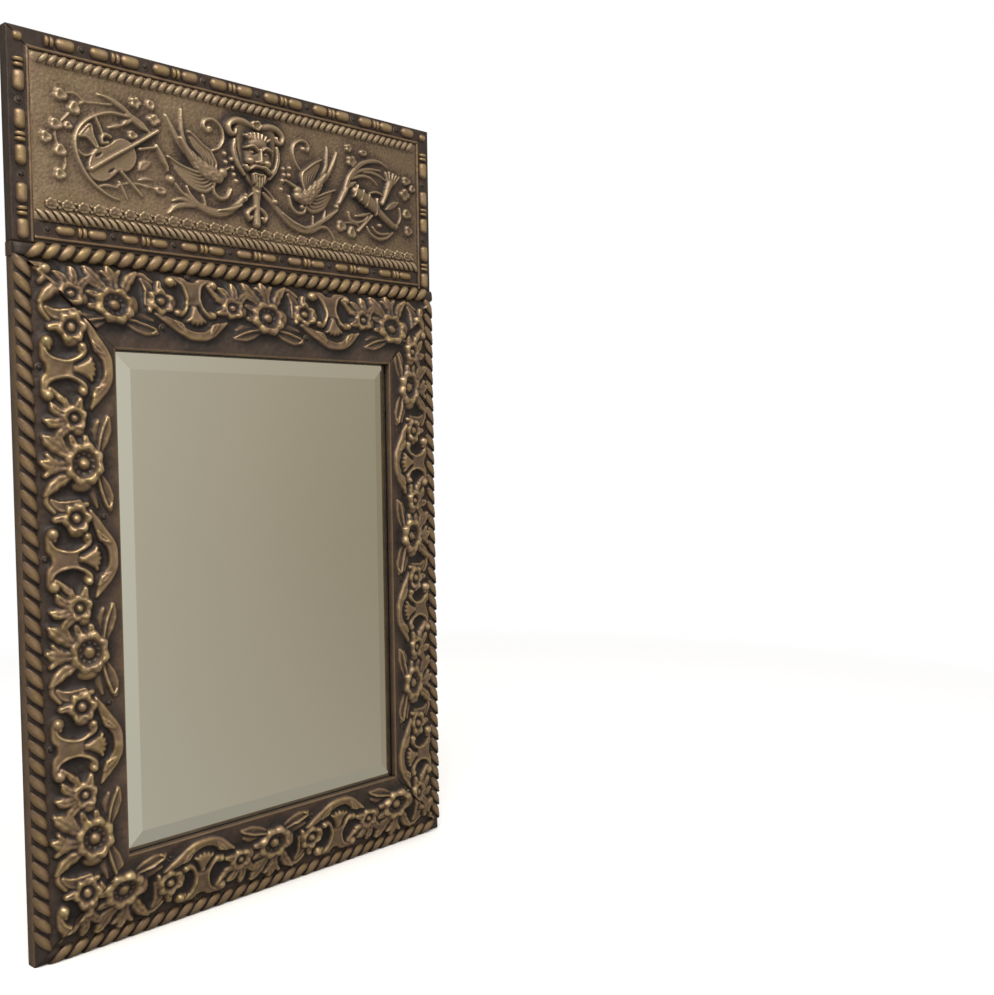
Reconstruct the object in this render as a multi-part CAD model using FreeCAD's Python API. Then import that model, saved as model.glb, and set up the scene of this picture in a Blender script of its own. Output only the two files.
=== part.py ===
import FreeCAD, Part
import math
import os

# A wall mirror of wood clad in pressed brass sheet: four mitred members round a bevelled glass,
# and a flat frieze above them. Sizes are in millimetres. +X is to the right, +Z is up, the front
# faces -Y and the wall is the plane Y = 0. The origin is on the back of the backboard, behind the
# centre of the mirror section.

# The whole
overall_w = 364.0            # across the brass, side to side
mirror_h = 461.0             # mirror section, bottom edge to the joint under the frieze
frieze_h = 139.0             # frieze section, joint to top edge
strip_w = 61.0               # floral strip seen from the front, outer edge to sight edge

# Depths, from the wall to the front
backboard_t = 6.0            # backboard and tie battens
edge_t = 8.0                 # wood at the outer edge, and the frieze board
crest_rise = 14.4            # climb of the front from the outer edge to the sight edge
sheet_t = 0.6                # brass sheet
return_d = 5.2               # brass turned back into the sight opening
seam = 0.2                   # gap where two sheets meet

# Glass and what holds it
glass_t = 5.0
bevel_w = 18.0               # bevel, measured across the glass
bevel_drop = 2.0             # glass lost to the bevel at its edge
glass_lap = 5.5              # glass hidden behind the sight edge
glass_play = 1.5             # room between the glass and the rebate wall
seat_gap = 0.1               # between the lip and the bevel
packing_t = 13.8             # fillets between the glass and the backboard
packing_w = 6.0
packing_play = 0.3
board_lap = 12.0             # backboard on the frame's back

# Joints of the wood
key_leg = 24.0               # corner key, along each member
key_t = 2.0
dowel_r = 2.0
dowel_half = 13.0            # length of a dowel in each piece
dowel_in = 87.0              # outer dowels, in from the sides
batten_w = 36.0
batten_in = 112.0            # batten's centre line, in from the side
batten_up = 78.0             # batten above the joint
batten_gap = 3.0             # between a batten and the backboard
batten_screw_x = 10.0        # screws either side of a batten's centre line
batten_screw_in = 12.0       # screws in from a batten's ends

# Countersunk wood screws
screw_r = 1.5
screw_head_r = 3.0
screw_head_h = 1.8
screw_slot = 0.7
board_screw_l = 16.0
board_screw_rows = 3         # screws along each side of the backboard
board_screw_cols = 2         # screws along its top and bottom
board_screw_end = 60.0       # end screws, in from the backboard's corners
tie_screw_l = 12.0

# Rope edges
edge_rope_in = 0.5           # rope of a floral strip, in from its outer edge
edge_rope_w = 9.2
edge_rope_h = 4.0
joint_rope_w = 9.0
joint_rope_h = 4.8

# Floral pattern, along a strip and up its slope
repeat_l = 123.2             # from one large flower to the next
bloom_x_top = 2.6            # a large flower, from the middle of the top strip
bloom_x_bottom = -2.5
bloom_down_left = 28.3       # down from the middle of a side strip
bloom_down_right = -28.8
bloom_t = 35.5               # large flower, in from the outer edge
bloom_r = 13.0
bloom_h = 2.8
bloom_eye_r = 5.2
bloom_eye_h = 5.2
bloom_top = 0.88             # a flower's flat top, as a share of its foot
eye_top = 0.72               # an eye's or ball's flat top, as a share of its foot
round_s = 33.0               # small round flower, along from the large one
rose_s = 94.0                # rosebud, along from the large flower
small_t = 34.0
small_r = 9.0
small_h = 2.4
small_eye_r = 3.6
small_eye_h = 4.4
strap_s = 62.0               # strapwork, along from the large flower
strap_t = 15.0               # outer edge of the strapwork
strap_l = 33.0               # strapwork across the strip
strap_half = 13.5            # half its width at the ends
strap_waist = 4.5            # half its width at the waist
strap_h = 2.8
ball_r = 3.6                 # balls at the scrolls' ends
ball_h = 4.4
ribbon_t = 32.0              # centre of the ribbon's curve
ribbon_r = 25.0
ribbon_w = 6.5
ribbon_half_deg = 58.0
ribbon_h = 2.2
leaf_l = 20.0
leaf_w = 7.0
leaf_h = 2.4
leaf_s = 14.0                # leaves either side of a large flower
leaf_t = 54.0
leaf_turn = 18.0
bud_s = 12.0                 # buds on the outer side of a large flower
bud_t = 17.0
bud_l = 12.0
bud_turn = 60.0

# Frieze panel and its beaded strips
bead_w = 8.4
bead_h = 3.2
bead_l = 14.6
reel_l = 3.0
reel_w = 7.6
reel_h = 2.8
reel_gap = 0.4               # between the two reels of a pair
bead_unit = 46.1             # pin to pin along a beaded strip
bead_at = 11.9               # long bead, along from a pin
ridge_w = 2.2
ridge_h = 1.2
top_strip_w = 13.0
top_bead_line = 5.6          # beads, in from the strip's outer edge
top_ridge_line = 11.6
side_strip_w = 14.5
side_bead_line = 7.2
side_ridge_line = 13.2
low_strip_w = 14.5
low_bead_line = 9.8          # beads, up from the strip's lower edge
low_ridge_line = 3.7
top_pin_x = 7.0              # a pin, from the middle
low_pin_x = -20.0
side_pin_down = 46.0         # a pin, down from the top edge
panel_rope_w = 6.4
panel_rope_h = 2.6
panel_rope_gap = 3.8         # upper rope's centre, down from the panel's edge
low_rope_gap = 4.0           # lower rope's centre, up from the panel's edge
rope_short = 4.0             # ropes stop short of the panel's ends
row_gap = 12.4               # flower row, up from the panel's lower edge
row_step = 11.1
row_r = 4.6
row_h = 2.0

# Main forms of the frieze, from the middle of its panel
mask_z = 13.0
mask_r = 15.0
mask_h = 4.6
volute_x = 21.0              # scrolls at the head of the mask's shield
volute_z = 33.0
volute_r = 5.5
volute_h = 3.0
finial_z = -20.0             # pendant under the mask
finial_l = 26.0
finial_w = 9.0
finial_h = 3.0
swallow_x = 45.0
swallow_z = -4.0
body_l = 30.0
body_w = 11.0
body_h = 4.2
body_turn = 50.0
wing_l = 32.0
wing_w = 7.0
wing_h = 2.6
wing_x = 6.0                 # raised wing, towards the mask
wing_up = 13.0
wing_out = 14.0              # spread wing, away from the mask
wing_down = 4.0
wing_turn = 22.0
tail_x = 15.0
tail_up = 22.0
tail_l = 30.0
tail_w = 5.0
tail_turn = 62.0
scroll_down = 8.0            # centre of the scroll under a swallow
scroll_r = 24.0
scroll_w = 6.0
scroll_h = 2.6
scroll_half_deg = 62.0
trophy_x = 115.0
trophy_r = 24.0              # horn's hoop
trophy_w = 3.6
trophy_h = 2.4
trophy_half_deg = 170.0
fiddle_l = 44.0
fiddle_w = 15.0
fiddle_h = 4.0
fiddle_turn = 32.0

# Brass pins
pin_r = 0.6
pin_head_r = 1.9
pin_head_h = 0.9
pin_l = 6.0
outer_pin_t = 12.6           # pins of a floral strip, in from its outer edge
inner_pin_t = 50.5
inner_pin_s = 36.0           # along from the large flower

# Strap hangers with D-rings
hanger_in = 52.0             # in from the side
hanger_down = 45.0           # pivot below the top edge
strap_plate_w = 10.0
strap_plate_t = 1.0
strap_plate_end = 6.0        # plate past its screw
ring_wire_r = 1.25
ring_half = 10.0             # half the bar's length
ring_leg = 6.0               # from the bar to the ring's round end
ring_bend = 3.0              # bend between the bar and a leg
ring_lift = 0.35             # between the ring and its plate
ring_play = 0.08             # running clearance round the bar
knuckle_wall = 1.0
hanger_screw_clear = 2.0     # between the ring and the screw's head
hanger_screw_l = 7.0
round_head_h = 1.5
round_head_top = 1.8         # radius of a round head's flat top

# Places that follow from the sizes above
V = FreeCAD.Vector
half_w = overall_w / 2
half_h = mirror_h / 2
top_z = half_h + frieze_h
slope = math.atan2(crest_rise, strip_w)
sheet_y = sheet_t / math.cos(slope)
wood_back = -backboard_t
wood_edge = -(backboard_t + edge_t)
brass_edge = wood_edge - sheet_y
frieze_front = wood_edge - sheet_t
glass_back = -(backboard_t + packing_t)
glass_front = glass_back - glass_t
lip = glass_front + bevel_drop * (1 - (glass_lap - sheet_t) / bevel_w) - seat_gap
rebate_u = strip_w - glass_lap - glass_play
rebate_x = half_w - rebate_u
rebate_z = half_h - rebate_u
board_x = rebate_x + board_lap
board_z = rebate_z + board_lap
joint_clear = joint_rope_w / 2 + seam
low_z = half_h + joint_clear
panel_low = low_z + low_strip_w + seam
panel_high = top_z - top_strip_w - seam
panel_x = half_w - side_strip_w - seam
batten_x = half_w - batten_in
dowel_x = half_w - dowel_in
hanger_x = half_w - hanger_in
hanger_z = top_z - hanger_down
plate_back = wood_back + strap_plate_t
pivot_y = plate_back + ring_lift + ring_wire_r
hanger_screw_down = ring_leg + ring_half + ring_wire_r + hanger_screw_clear + screw_head_r
hanger_screw_z = hanger_z - hanger_screw_down
strap_plate_l = hanger_screw_down + strap_plate_end
top_lift = joint_rope_w / 2


# Front of the brass, and of the wood under it, at a distance u in from the outer edge
def brass_front(u):
    return brass_edge - u * math.tan(slope)


def wood_front(u):
    return wood_edge - u * math.tan(slope)


def closed_face(points):
    return Part.Face(Part.makePolygon(points + points[:1]))


def box(x0, x1, y0, y1, z0, z1):
    return Part.makeBox(x1 - x0, y1 - y0, z1 - z0, V(x0, y0, z0))


def largest(shape):
    return max(shape.Solids, key=lambda solid: solid.Volume)


def save(name, shape):
    shape.exportStep("parts/%s.step" % name)
    print(name, len(shape.Solids), "solids", round(shape.Volume), "mm3", shape.isValid())


# The four sides. A side is drawn as the top one: X along it, Z = -u, and then turned into place.
sides = {
    "top": (0, False, V(0, 0, half_h), half_w, bloom_x_top),
    "right": (90, False, V(half_w, 0, 0), half_h, bloom_down_right),
    "bottom": (180, True, V(0, 0, -half_h), half_w, bloom_x_bottom),
    "left": (-90, True, V(-half_w, 0, 0), half_h, bloom_down_left),
}


def to_side(shape, side):
    turn, mirrored, corner, half, phase = sides[side]
    placed = shape.mirror(V(0, 0, 0), V(1, 0, 0)) if mirrored else shape.copy()
    placed.rotate(V(0, 0, 0), V(0, 1, 0), turn)
    placed.translate(corner)
    return placed


# The space that a mitred piece may fill, as the top side is drawn
def mitre_space(half, gap, start=0.0, head=0.0):
    inner = half - strip_w
    points = [V(half - start - gap, 0, -start), V(inner - gap, 0, -strip_w), V(-inner + gap, 0, -strip_w)]
    if head:
        points += [V(-half + head, 0, -head + gap), V(-half + head, 0, 0)]
    else:
        points += [V(-half + start + gap, 0, -start)]
    depth = backboard_t + edge_t + crest_rise + strip_w
    return closed_face(points).extrude(V(0, -depth, 0))


def along_side(section, half):
    section.translate(V(-half, 0, 0))
    return section.extrude(V(2 * half, 0, 0))


def wood_member(side):
    half = sides[side][3]
    inner_u = strip_w - sheet_t
    profile = [
        (sheet_t, wood_back), (sheet_t, wood_front(sheet_t)), (inner_u, wood_front(inner_u)),
        (inner_u, lip), (rebate_u, lip), (rebate_u, wood_back),
    ]
    bar = along_side(closed_face([V(0, y, -u) for u, y in profile]), half)
    return to_side(bar.common(mitre_space(half, 0.0)), side)


def corner_key(sx, sz):
    x = sx * (half_w - sheet_t)
    z = sz * (half_h - sheet_t)
    y = wood_back - (edge_t - key_t) / 2
    face = closed_face([V(x, y, z), V(x - sx * key_leg, y, z), V(x, y, z - sz * key_leg)])
    return face.extrude(V(0, -key_t, 0))


def countersunk_screw(x, z, y, length):
    head = Part.makeCone(screw_head_r, screw_r, screw_head_h, V(x, y, z), V(0, -1, 0))
    shank = Part.makeCylinder(screw_r, length, V(x, y, z), V(0, -1, 0))
    return head.fuse(shank).removeSplitter()


def slotted(screw, x, z, y):
    reach, half = screw_head_r, screw_slot / 2
    return screw.cut(box(x - reach, x + reach, y - screw_slot, y, z - half, z + half))


def slotted_group(screws, places):
    return Part.makeCompound([slotted(screw, x, z, 0.0) for screw, (x, z) in zip(screws, places)])


def evenly(reach, count):
    return [reach * (2 * i / (count - 1) - 1) for i in range(count)]


# Raised forms of the pressed sheet, on a flat sheet whose front is Z = 0. wall is 0 for the outside
# of a form and the sheet's thickness for the hollow behind it.
def foot(wall):
    return 2 * sheet_t if wall else sheet_t / 2


def dome(x, y, r, h, wall, top=eye_top):
    low = foot(wall)
    return Part.makeCone(r - wall, r * top - wall, low + h - wall, V(x, y, -low))


def prism(edges, h, wall):
    face = Part.Face(Part.Wire(edges))
    face.translate(V(0, 0, -foot(wall)))
    return face.extrude(V(0, 0, foot(wall) + h - wall))


def arc(a, b, c):
    return Part.Arc(V(*a, 0), V(*b, 0), V(*c, 0)).toShape()


def line(a, b):
    return Part.makeLine(V(*a, 0), V(*b, 0))


def leaf(x, y, length, width, turn, h, wall):
    a = length / 2 - 2 * wall
    b = width / 2 - wall
    form = prism([arc((-a, 0), (0, b), (a, 0)), arc((a, 0), (0, -b), (-a, 0))], h, wall)
    form.rotate(V(0, 0, 0), V(0, 0, 1), turn)
    form.translate(V(x, y, 0))
    return form


def band(x, y, r, width, mid_deg, half_deg, h, wall):
    outer = r + width / 2 - wall
    inner = r - width / 2 + wall
    half = half_deg - math.degrees(wall / r)

    def point(radius, deg):
        return (x + radius * math.cos(math.radians(deg)), y + radius * math.sin(math.radians(deg)))
    start, end = mid_deg - half, mid_deg + half
    return prism([
        arc(point(outer, start), point(outer, mid_deg), point(outer, end)),
        line(point(outer, end), point(inner, end)),
        arc(point(inner, end), point(inner, mid_deg), point(inner, start)),
        line(point(inner, start), point(outer, start)),
    ], h, wall)


def half_round(x0, x1, y, width, h, wall):
    w = width / 2 - wall
    low = -foot(wall)
    a, b = V(0, -w, 0), V(0, w, 0)
    edges = [
        Part.Arc(a, V(0, 0, h - wall), b).toShape(), Part.makeLine(b, V(0, w, low)),
        Part.makeLine(V(0, w, low), V(0, -w, low)), Part.makeLine(V(0, -w, low), a),
    ]
    face = Part.Face(Part.Wire(edges))
    face.translate(V(x0 + wall, y, 0))
    return face.extrude(V(x1 - x0 - 2 * wall, 0, 0))


def strapwork(x, y, wall):
    end = strap_half - wall
    waist = strap_waist - wall
    top, mid, low = y - wall, y - strap_l / 2, y - strap_l + wall
    forms = [prism([
        line((x - end, top), (x + end, top)), arc((x + end, top), (x + waist, mid), (x + end, low)),
        line((x + end, low), (x - end, low)), arc((x - end, low), (x - waist, mid), (x - end, top)),
    ], strap_h, wall)]
    for side in (-1, 1):
        forms.append(dome(x + side * (strap_half - ball_r / 2), y - ball_r / 2, ball_r, ball_h, wall))
    return forms


def flower(r, h, eye_r, eye_h, wall):
    return lambda x, y: [dome(x, y, r, h, wall, bloom_top), dome(x, y, eye_r, eye_h, wall)]


def foliage(length, turn, wall):
    return lambda x, y: [leaf(x, y, length, leaf_w, turn, leaf_h, wall)]


def ribbon(x, y, wall):
    return band(x, y, ribbon_r, ribbon_w, -90, ribbon_half_deg, ribbon_h, wall)


# Hollow pressings: the outsides are joined to the sheet and the hollows cut from behind
def pressed(sheet, relief):
    return sheet.multiFuse(relief(0.0)).cut(relief(sheet_t))


def floral_relief(half, phase, lift, wall):
    forms = []
    first = math.floor((-half - phase) / repeat_l)
    last = math.ceil((half - phase) / repeat_l)

    def add(s, t, make):
        reach = half - (t - lift) * math.cos(slope)
        if abs(s) < reach:
            forms.extend(make(s, lift - t))
    for k in range(first, last + 1):
        s = phase + k * repeat_l
        add(s, bloom_t, flower(bloom_r, bloom_h, bloom_eye_r, bloom_eye_h, wall))
        add(s + round_s, small_t, flower(small_r, small_h, small_eye_r, small_eye_h, wall))
        add(s + rose_s, small_t, flower(small_r, small_h, small_eye_r, small_eye_h, wall))
        add(s + strap_s, strap_t, lambda x, y: strapwork(x, y, wall))
        add(s + strap_s, ribbon_t, lambda x, y: [ribbon(x, y, wall)])
        for side in (-1, 1):
            add(s + side * leaf_s, leaf_t, foliage(leaf_l, side * leaf_turn, wall))
            add(s + side * bud_s, bud_t, foliage(bud_l, side * bud_turn, wall))
    return forms


# From a flat sheet to the slope of a side, or upright on the frieze
def to_slope(shape):
    placed = shape.copy()
    placed.rotate(V(0, 0, 0), V(1, 0, 0), 90 - math.degrees(slope))
    placed.translate(V(0, brass_edge, 0))
    return placed


def to_frieze(shape):
    placed = shape.copy()
    placed.rotate(V(0, 0, 0), V(1, 0, 0), 90)
    placed.translate(V(0, frieze_front, 0))
    return placed


# Section of a floral strip: outer wrap, rope edge, slope, crest and return
def floral_section():
    r0, r1 = edge_rope_in, edge_rope_in + edge_rope_w
    rm = (r0 + r1) / 2

    def out(u, lift=0.0):
        return V(0, brass_front(u) - lift, -u)

    def inside(u, lift=0.0):
        return V(0, wood_front(u) - lift, -u)
    inner = strip_w - sheet_t
    end = brass_front(strip_w) + return_d
    wrap_out, wrap_in = V(0, wood_back, 0), V(0, wood_back, -sheet_t)
    return_out, return_in = V(0, end, -strip_w), V(0, end, -inner)
    edges = [
        Part.makeLine(wrap_out, out(0)),
        Part.makeLine(out(0), out(r0)),
        Part.Arc(out(r0), out(rm, edge_rope_h), out(r1)).toShape(),
        Part.makeLine(out(r1), out(strip_w)),
        Part.makeLine(out(strip_w), return_out),
        Part.makeLine(return_out, return_in),
        Part.makeLine(return_in, inside(inner)),
        Part.makeLine(inside(inner), inside(r1 - sheet_t)),
        Part.Arc(inside(r1 - sheet_t), inside(rm, edge_rope_h), inside(r0 + sheet_t)).toShape(),
        Part.makeLine(inside(r0 + sheet_t), inside(sheet_t)),
        Part.makeLine(inside(sheet_t), wrap_in),
        Part.makeLine(wrap_in, wrap_out),
    ]
    return Part.Face(Part.Wire(edges))


# The top strip has no wrap or rope of its own: the joint rope covers its edge
def top_floral_section():
    inner = strip_w - sheet_t
    start = joint_clear
    end = brass_front(strip_w) + return_d
    return closed_face([
        V(0, brass_front(start), -start), V(0, brass_front(strip_w), -strip_w), V(0, end, -strip_w),
        V(0, end, -inner), V(0, wood_front(inner), -inner), V(0, wood_front(start), -start),
    ])


def floral_strip(side):
    turn, mirrored, corner, half, phase = sides[side]
    upright = half == half_h
    section = top_floral_section() if side == "top" else floral_section()
    sheet = along_side(section, half)
    lift = top_lift if side == "top" else 0.0
    strip = pressed(sheet, lambda wall: [to_slope(form) for form in floral_relief(half, phase, lift, wall)])
    if side == "top":
        space = mitre_space(half, seam, start=joint_clear)
    elif upright:
        space = mitre_space(half, seam, head=joint_clear)
    else:
        space = mitre_space(half, seam)
    return to_side(largest(strip.common(space)), side)


def joint_rope():
    w = joint_rope_w / 2

    def on_wood(z, lift=0.0):
        return V(0, wood_front(max(-z, 0.0)) - lift, half_h + z)
    edges = [
        Part.Arc(on_wood(w), on_wood(0, joint_rope_h), on_wood(-w)).toShape(),
        Part.makeLine(on_wood(-w), on_wood(-w + sheet_t)),
        Part.Arc(on_wood(-w + sheet_t), on_wood(0, joint_rope_h - sheet_t), on_wood(w - sheet_t)).toShape(),
        Part.makeLine(on_wood(w - sheet_t), on_wood(w)),
    ]
    return along_side(Part.Face(Part.Wire(edges)), half_w)


# Pins of a beaded strip, and its bead-and-reel, along X from x0 to x1
def pin_places(x0, x1, phase, margin):
    first = math.ceil((x0 + margin - phase) / bead_unit)
    last = math.floor((x1 - margin - phase) / bead_unit)
    return [phase + k * bead_unit for k in range(first, last + 1)]


def bead_row(x0, x1, y, phase, wall):
    forms = []
    first = math.floor((x0 - phase) / bead_unit)
    last = math.ceil((x1 - phase) / bead_unit)
    reel_at = reel_gap / 2 + reel_l / 2
    middle = bead_unit / 2
    parts = [(at, bead_l, bead_w, bead_h) for at in (bead_at, bead_unit - bead_at)]
    parts += [(at, reel_l, reel_w, reel_h) for at in (middle - reel_at, middle + reel_at)]
    for k in range(first, last + 1):
        for at, length, width, h in parts:
            centre = phase + k * bead_unit + at
            if x0 + length / 2 < centre < x1 - length / 2:
                forms.append(half_round(centre - length / 2, centre + length / 2, y, width, h, wall))
    return forms


# The beaded strips are drawn flat, Y up the frieze, and the sheet's front is Z = 0
def flat_sheet(points):
    face = closed_face([V(x, y, -sheet_t) for x, y in points])
    return face.extrude(V(0, 0, sheet_t))


def wrap_plate(x0, x1, y0, y1):
    return Part.makeBox(x1 - x0, y1 - y0, edge_t + sheet_t, V(x0, y0, -sheet_t - edge_t))


def bead_strip_top():
    w = top_strip_w
    s = side_strip_w
    y = top_z
    gap = seam / 2
    sheet = flat_sheet([(-half_w + gap, y), (half_w - gap, y), (half_w - s, y - w), (-half_w + s, y - w)])
    sheet = sheet.fuse(wrap_plate(-half_w + sheet_t + seam, half_w - sheet_t - seam, y - sheet_t, y))
    reach = half_w - s

    def relief(wall):
        ridge = half_round(-reach, reach, y - top_ridge_line, ridge_w, ridge_h, wall)
        return [ridge] + bead_row(-reach, reach, y - top_bead_line, top_pin_x, wall)
    return to_frieze(largest(pressed(sheet, relief)))


def bead_strip_bottom():
    x = panel_x
    sheet = flat_sheet([(-x, low_z), (x, low_z), (x, low_z + low_strip_w), (-x, low_z + low_strip_w)])

    def relief(wall):
        ridge = half_round(-x, x, low_z + low_ridge_line, ridge_w, ridge_h, wall)
        return [ridge] + bead_row(-x, x, low_z + low_bead_line, low_pin_x, wall)
    return to_frieze(largest(pressed(sheet, relief)))


def turn_upright(shape):
    placed = shape.copy()
    placed.rotate(V(0, 0, 0), V(0, 0, 1), 90)
    placed.translate(V(0, top_z, 0))
    return placed


# A side strip's beads run down from the top edge: drawn along X from the top, then turned upright
def bead_strip_side(sx):
    s = side_strip_w
    w = top_strip_w
    outer = sx * half_w
    inner = outer - sx * s
    head = top_z - seam
    sheet = flat_sheet([(outer, low_z), (outer, head), (inner, head - w), (inner, low_z)])
    x0, x1 = sorted((outer, outer - sx * sheet_t))
    sheet = sheet.fuse(wrap_plate(x0, x1, low_z, top_z - sheet_t - seam))
    down = top_z - low_z

    def relief(wall):
        ridge = half_round(-down, -w, -sx * (half_w - side_ridge_line), ridge_w, ridge_h, wall)
        beads = bead_row(-down, -w, -sx * (half_w - side_bead_line), -side_pin_down, wall)
        return [turn_upright(form) for form in [ridge] + beads]
    return to_frieze(largest(pressed(sheet, relief)))


def frieze_relief(wall):
    middle = (panel_low + panel_high) / 2
    x = panel_x - rope_short
    forms = [
        half_round(-x, x, panel_high - panel_rope_gap, panel_rope_w, panel_rope_h, wall),
        half_round(-x, x, panel_low + low_rope_gap, panel_rope_w, panel_rope_h, wall),
        dome(0, middle + mask_z, mask_r, mask_h, wall),
        leaf(0, middle + finial_z, finial_l, finial_w, 90, finial_h, wall),
    ]
    reach = math.floor((x - row_r) / row_step)
    for k in range(-reach, reach + 1):
        forms.append(dome(k * row_step, panel_low + row_gap, row_r, row_h, wall))
    for side in (-1, 1):
        body = side * swallow_x
        z = middle + swallow_z
        trophy = side * trophy_x
        forms += [
            dome(side * volute_x, middle + volute_z, volute_r, volute_h, wall),
            leaf(body, z, body_l, body_w, side * body_turn, body_h, wall),
            leaf(body - side * wing_x, z + wing_up, wing_l, wing_w, -side * body_turn, wing_h, wall),
            leaf(body + side * wing_out, z - wing_down, wing_l, wing_w, side * wing_turn, wing_h, wall),
            leaf(body + side * tail_x, z + tail_up, tail_l, tail_w, side * tail_turn, wing_h, wall),
            band(body, middle - scroll_down, scroll_r, scroll_w, -90, scroll_half_deg, scroll_h, wall),
            band(trophy, middle, trophy_r, trophy_w, 90, trophy_half_deg, trophy_h, wall),
            leaf(trophy, middle, fiddle_l, fiddle_w, -side * fiddle_turn, fiddle_h, wall),
        ]
    return forms


def frieze_panel():
    x = panel_x
    sheet = flat_sheet([(-x, panel_low), (x, panel_low), (x, panel_high), (-x, panel_high)])
    return to_frieze(largest(pressed(sheet, frieze_relief)))


# Pins: a domed head on the sheet and a shank through it into the wood, drawn as the flat sheet is
def pin(x, y):
    head = Part.makeCone(pin_head_r, pin_head_r / 2, pin_head_h, V(x, y, 0))
    return head.fuse(pin_shank(x, y)).removeSplitter()


def pin_shank(x, y):
    return Part.makeCylinder(pin_r, pin_l, V(x, y, -pin_l))


def frieze_pin_places():
    end = half_w - side_strip_w
    margin = pin_head_r * 2
    places = [(x, top_z - top_bead_line) for x in pin_places(-end, end, top_pin_x, margin)]
    places += [(x, low_z + low_bead_line) for x in pin_places(-panel_x, panel_x, low_pin_x, margin)]
    for down in pin_places(0, top_z - low_z, side_pin_down, top_strip_w):
        places += [(sx * (half_w - side_bead_line), top_z - down) for sx in (-1, 1)]
    return places


def floral_pin_places(half, phase, lift):
    places = []
    first = math.floor((-half - phase) / repeat_l)
    last = math.ceil((half - phase) / repeat_l)
    for k in range(first, last + 1):
        for s, t in ((strap_s, outer_pin_t), (inner_pin_s, inner_pin_t)):
            at = phase + k * repeat_l + s
            if abs(at) < half - t - pin_head_r * 2:
                places.append((at, lift - t))
    return places


def floral_pins(side, make):
    turn, mirrored, corner, half, phase = sides[side]
    lift = top_lift if side == "top" else 0.0
    return [to_side(to_slope(make(x, y)), side) for x, y in floral_pin_places(half, phase, lift)]


# Strap hanger: a plate rolled round the bar of a D-ring, and the ring hanging down
def hanger_plate(x):
    half = strap_plate_w / 2
    plate = box(x - half, x + half, wood_back, plate_back, hanger_z - strap_plate_l, hanger_z)
    start = V(x - half, pivot_y, hanger_z)
    bore_r = ring_wire_r + ring_play
    roll = Part.makeCylinder(bore_r + knuckle_wall, strap_plate_w, start, V(1, 0, 0))
    bore = Part.makeCylinder(bore_r, strap_plate_w, start, V(1, 0, 0))
    hole = screw_shank(x, hanger_screw_z, plate_back, hanger_screw_l)
    return plate.fuse(roll).cut([bore, hole])


def hanger_ring(x):
    def at(dx, dz):
        return V(x + dx, pivot_y, hanger_z + dz)
    inset = ring_bend * (1 - math.sqrt(0.5))
    low = ring_half * math.sqrt(0.5)
    path = Part.Wire([
        Part.makeLine(at(0, 0), at(ring_half - ring_bend, 0)),
        Part.Arc(
            at(ring_half - ring_bend, 0), at(ring_half - inset, -inset), at(ring_half, -ring_bend)
        ).toShape(),
        Part.makeLine(at(ring_half, -ring_bend), at(ring_half, -ring_leg)),
        Part.Arc(at(ring_half, -ring_leg), at(low, -ring_leg - low), at(0, -ring_leg - ring_half)).toShape(),
    ])
    wire_end = Part.Wire(Part.makeCircle(ring_wire_r, at(0, 0), V(1, 0, 0)))
    right = path.makePipeShell([wire_end], True, False)
    return right.fuse(right.mirror(at(0, 0), V(1, 0, 0))).removeSplitter()


def round_head_screw(x, z):
    y = plate_back
    head = Part.makeCone(screw_head_r, round_head_top, round_head_h, V(x, y, z), V(0, 1, 0))
    return head.fuse(screw_shank(x, z, y, hanger_screw_l)).removeSplitter()


def screw_shank(x, z, y, length):
    return Part.makeCylinder(screw_r, length, V(x, y, z), V(0, -1, 0))


def bevelled_glass():
    x = half_w - strip_w + glass_lap
    z = half_h - strip_w + glass_lap
    edge = glass_front + bevel_drop

    def outline(inset, y):
        a, b = x - inset, z - inset
        return Part.makePolygon([V(-a, y, -b), V(a, y, -b), V(a, y, b), V(-a, y, b), V(-a, y, -b)])
    face = Part.makeLoft([outline(0, edge), outline(bevel_w, glass_front)], True, True)
    return box(-x, x, edge, glass_back, -z, z).fuse(face).removeSplitter()


def packing(x0, x1, z0, z1):
    return box(x0, x1, glass_back, wood_back, z0, z1)


# Screws and dowels, and where they go
side_screw_x = rebate_x + board_lap / 2
end_screw_z = rebate_z + board_lap / 2
screw_rows = evenly(board_z - board_screw_end, board_screw_rows)
screw_cols = evenly(board_x - board_screw_end, board_screw_cols)
board_screws = [(sx * side_screw_x, z) for sx in (-1, 1) for z in screw_rows]
board_screws += [(x, sz * end_screw_z) for sz in (-1, 1) for x in screw_cols]
batten_low = board_z + batten_gap
batten_high = half_h + batten_up
batten_rows = (batten_low + batten_screw_in, batten_high - batten_screw_in)
tie_screws = [
    (sx * batten_x + side * batten_screw_x, z) for sx in (-1, 1) for side in (-1, 1) for z in batten_rows
]
board_screw_solids = [countersunk_screw(x, z, 0.0, board_screw_l) for x, z in board_screws]
tie_screw_solids = [countersunk_screw(x, z, 0.0, tie_screw_l) for x, z in tie_screws]
wood_joint = half_h - sheet_t
dowel_y = wood_back - edge_t / 2
dowels = [
    Part.makeCylinder(dowel_r, 2 * dowel_half, V(x, dowel_y, wood_joint - dowel_half), V(0, 0, 1))
    for x in (-dowel_x, 0.0, dowel_x)
]
keys = [corner_key(sx, sz) for sx in (-1, 1) for sz in (-1, 1)]
hanger_shanks = [screw_shank(sx * hanger_x, hanger_screw_z, plate_back, hanger_screw_l) for sx in (-1, 1)]
frieze_shanks = [to_frieze(pin_shank(x, y)) for x, y in frieze_pin_places()]

os.makedirs("parts", exist_ok=True)

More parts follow.
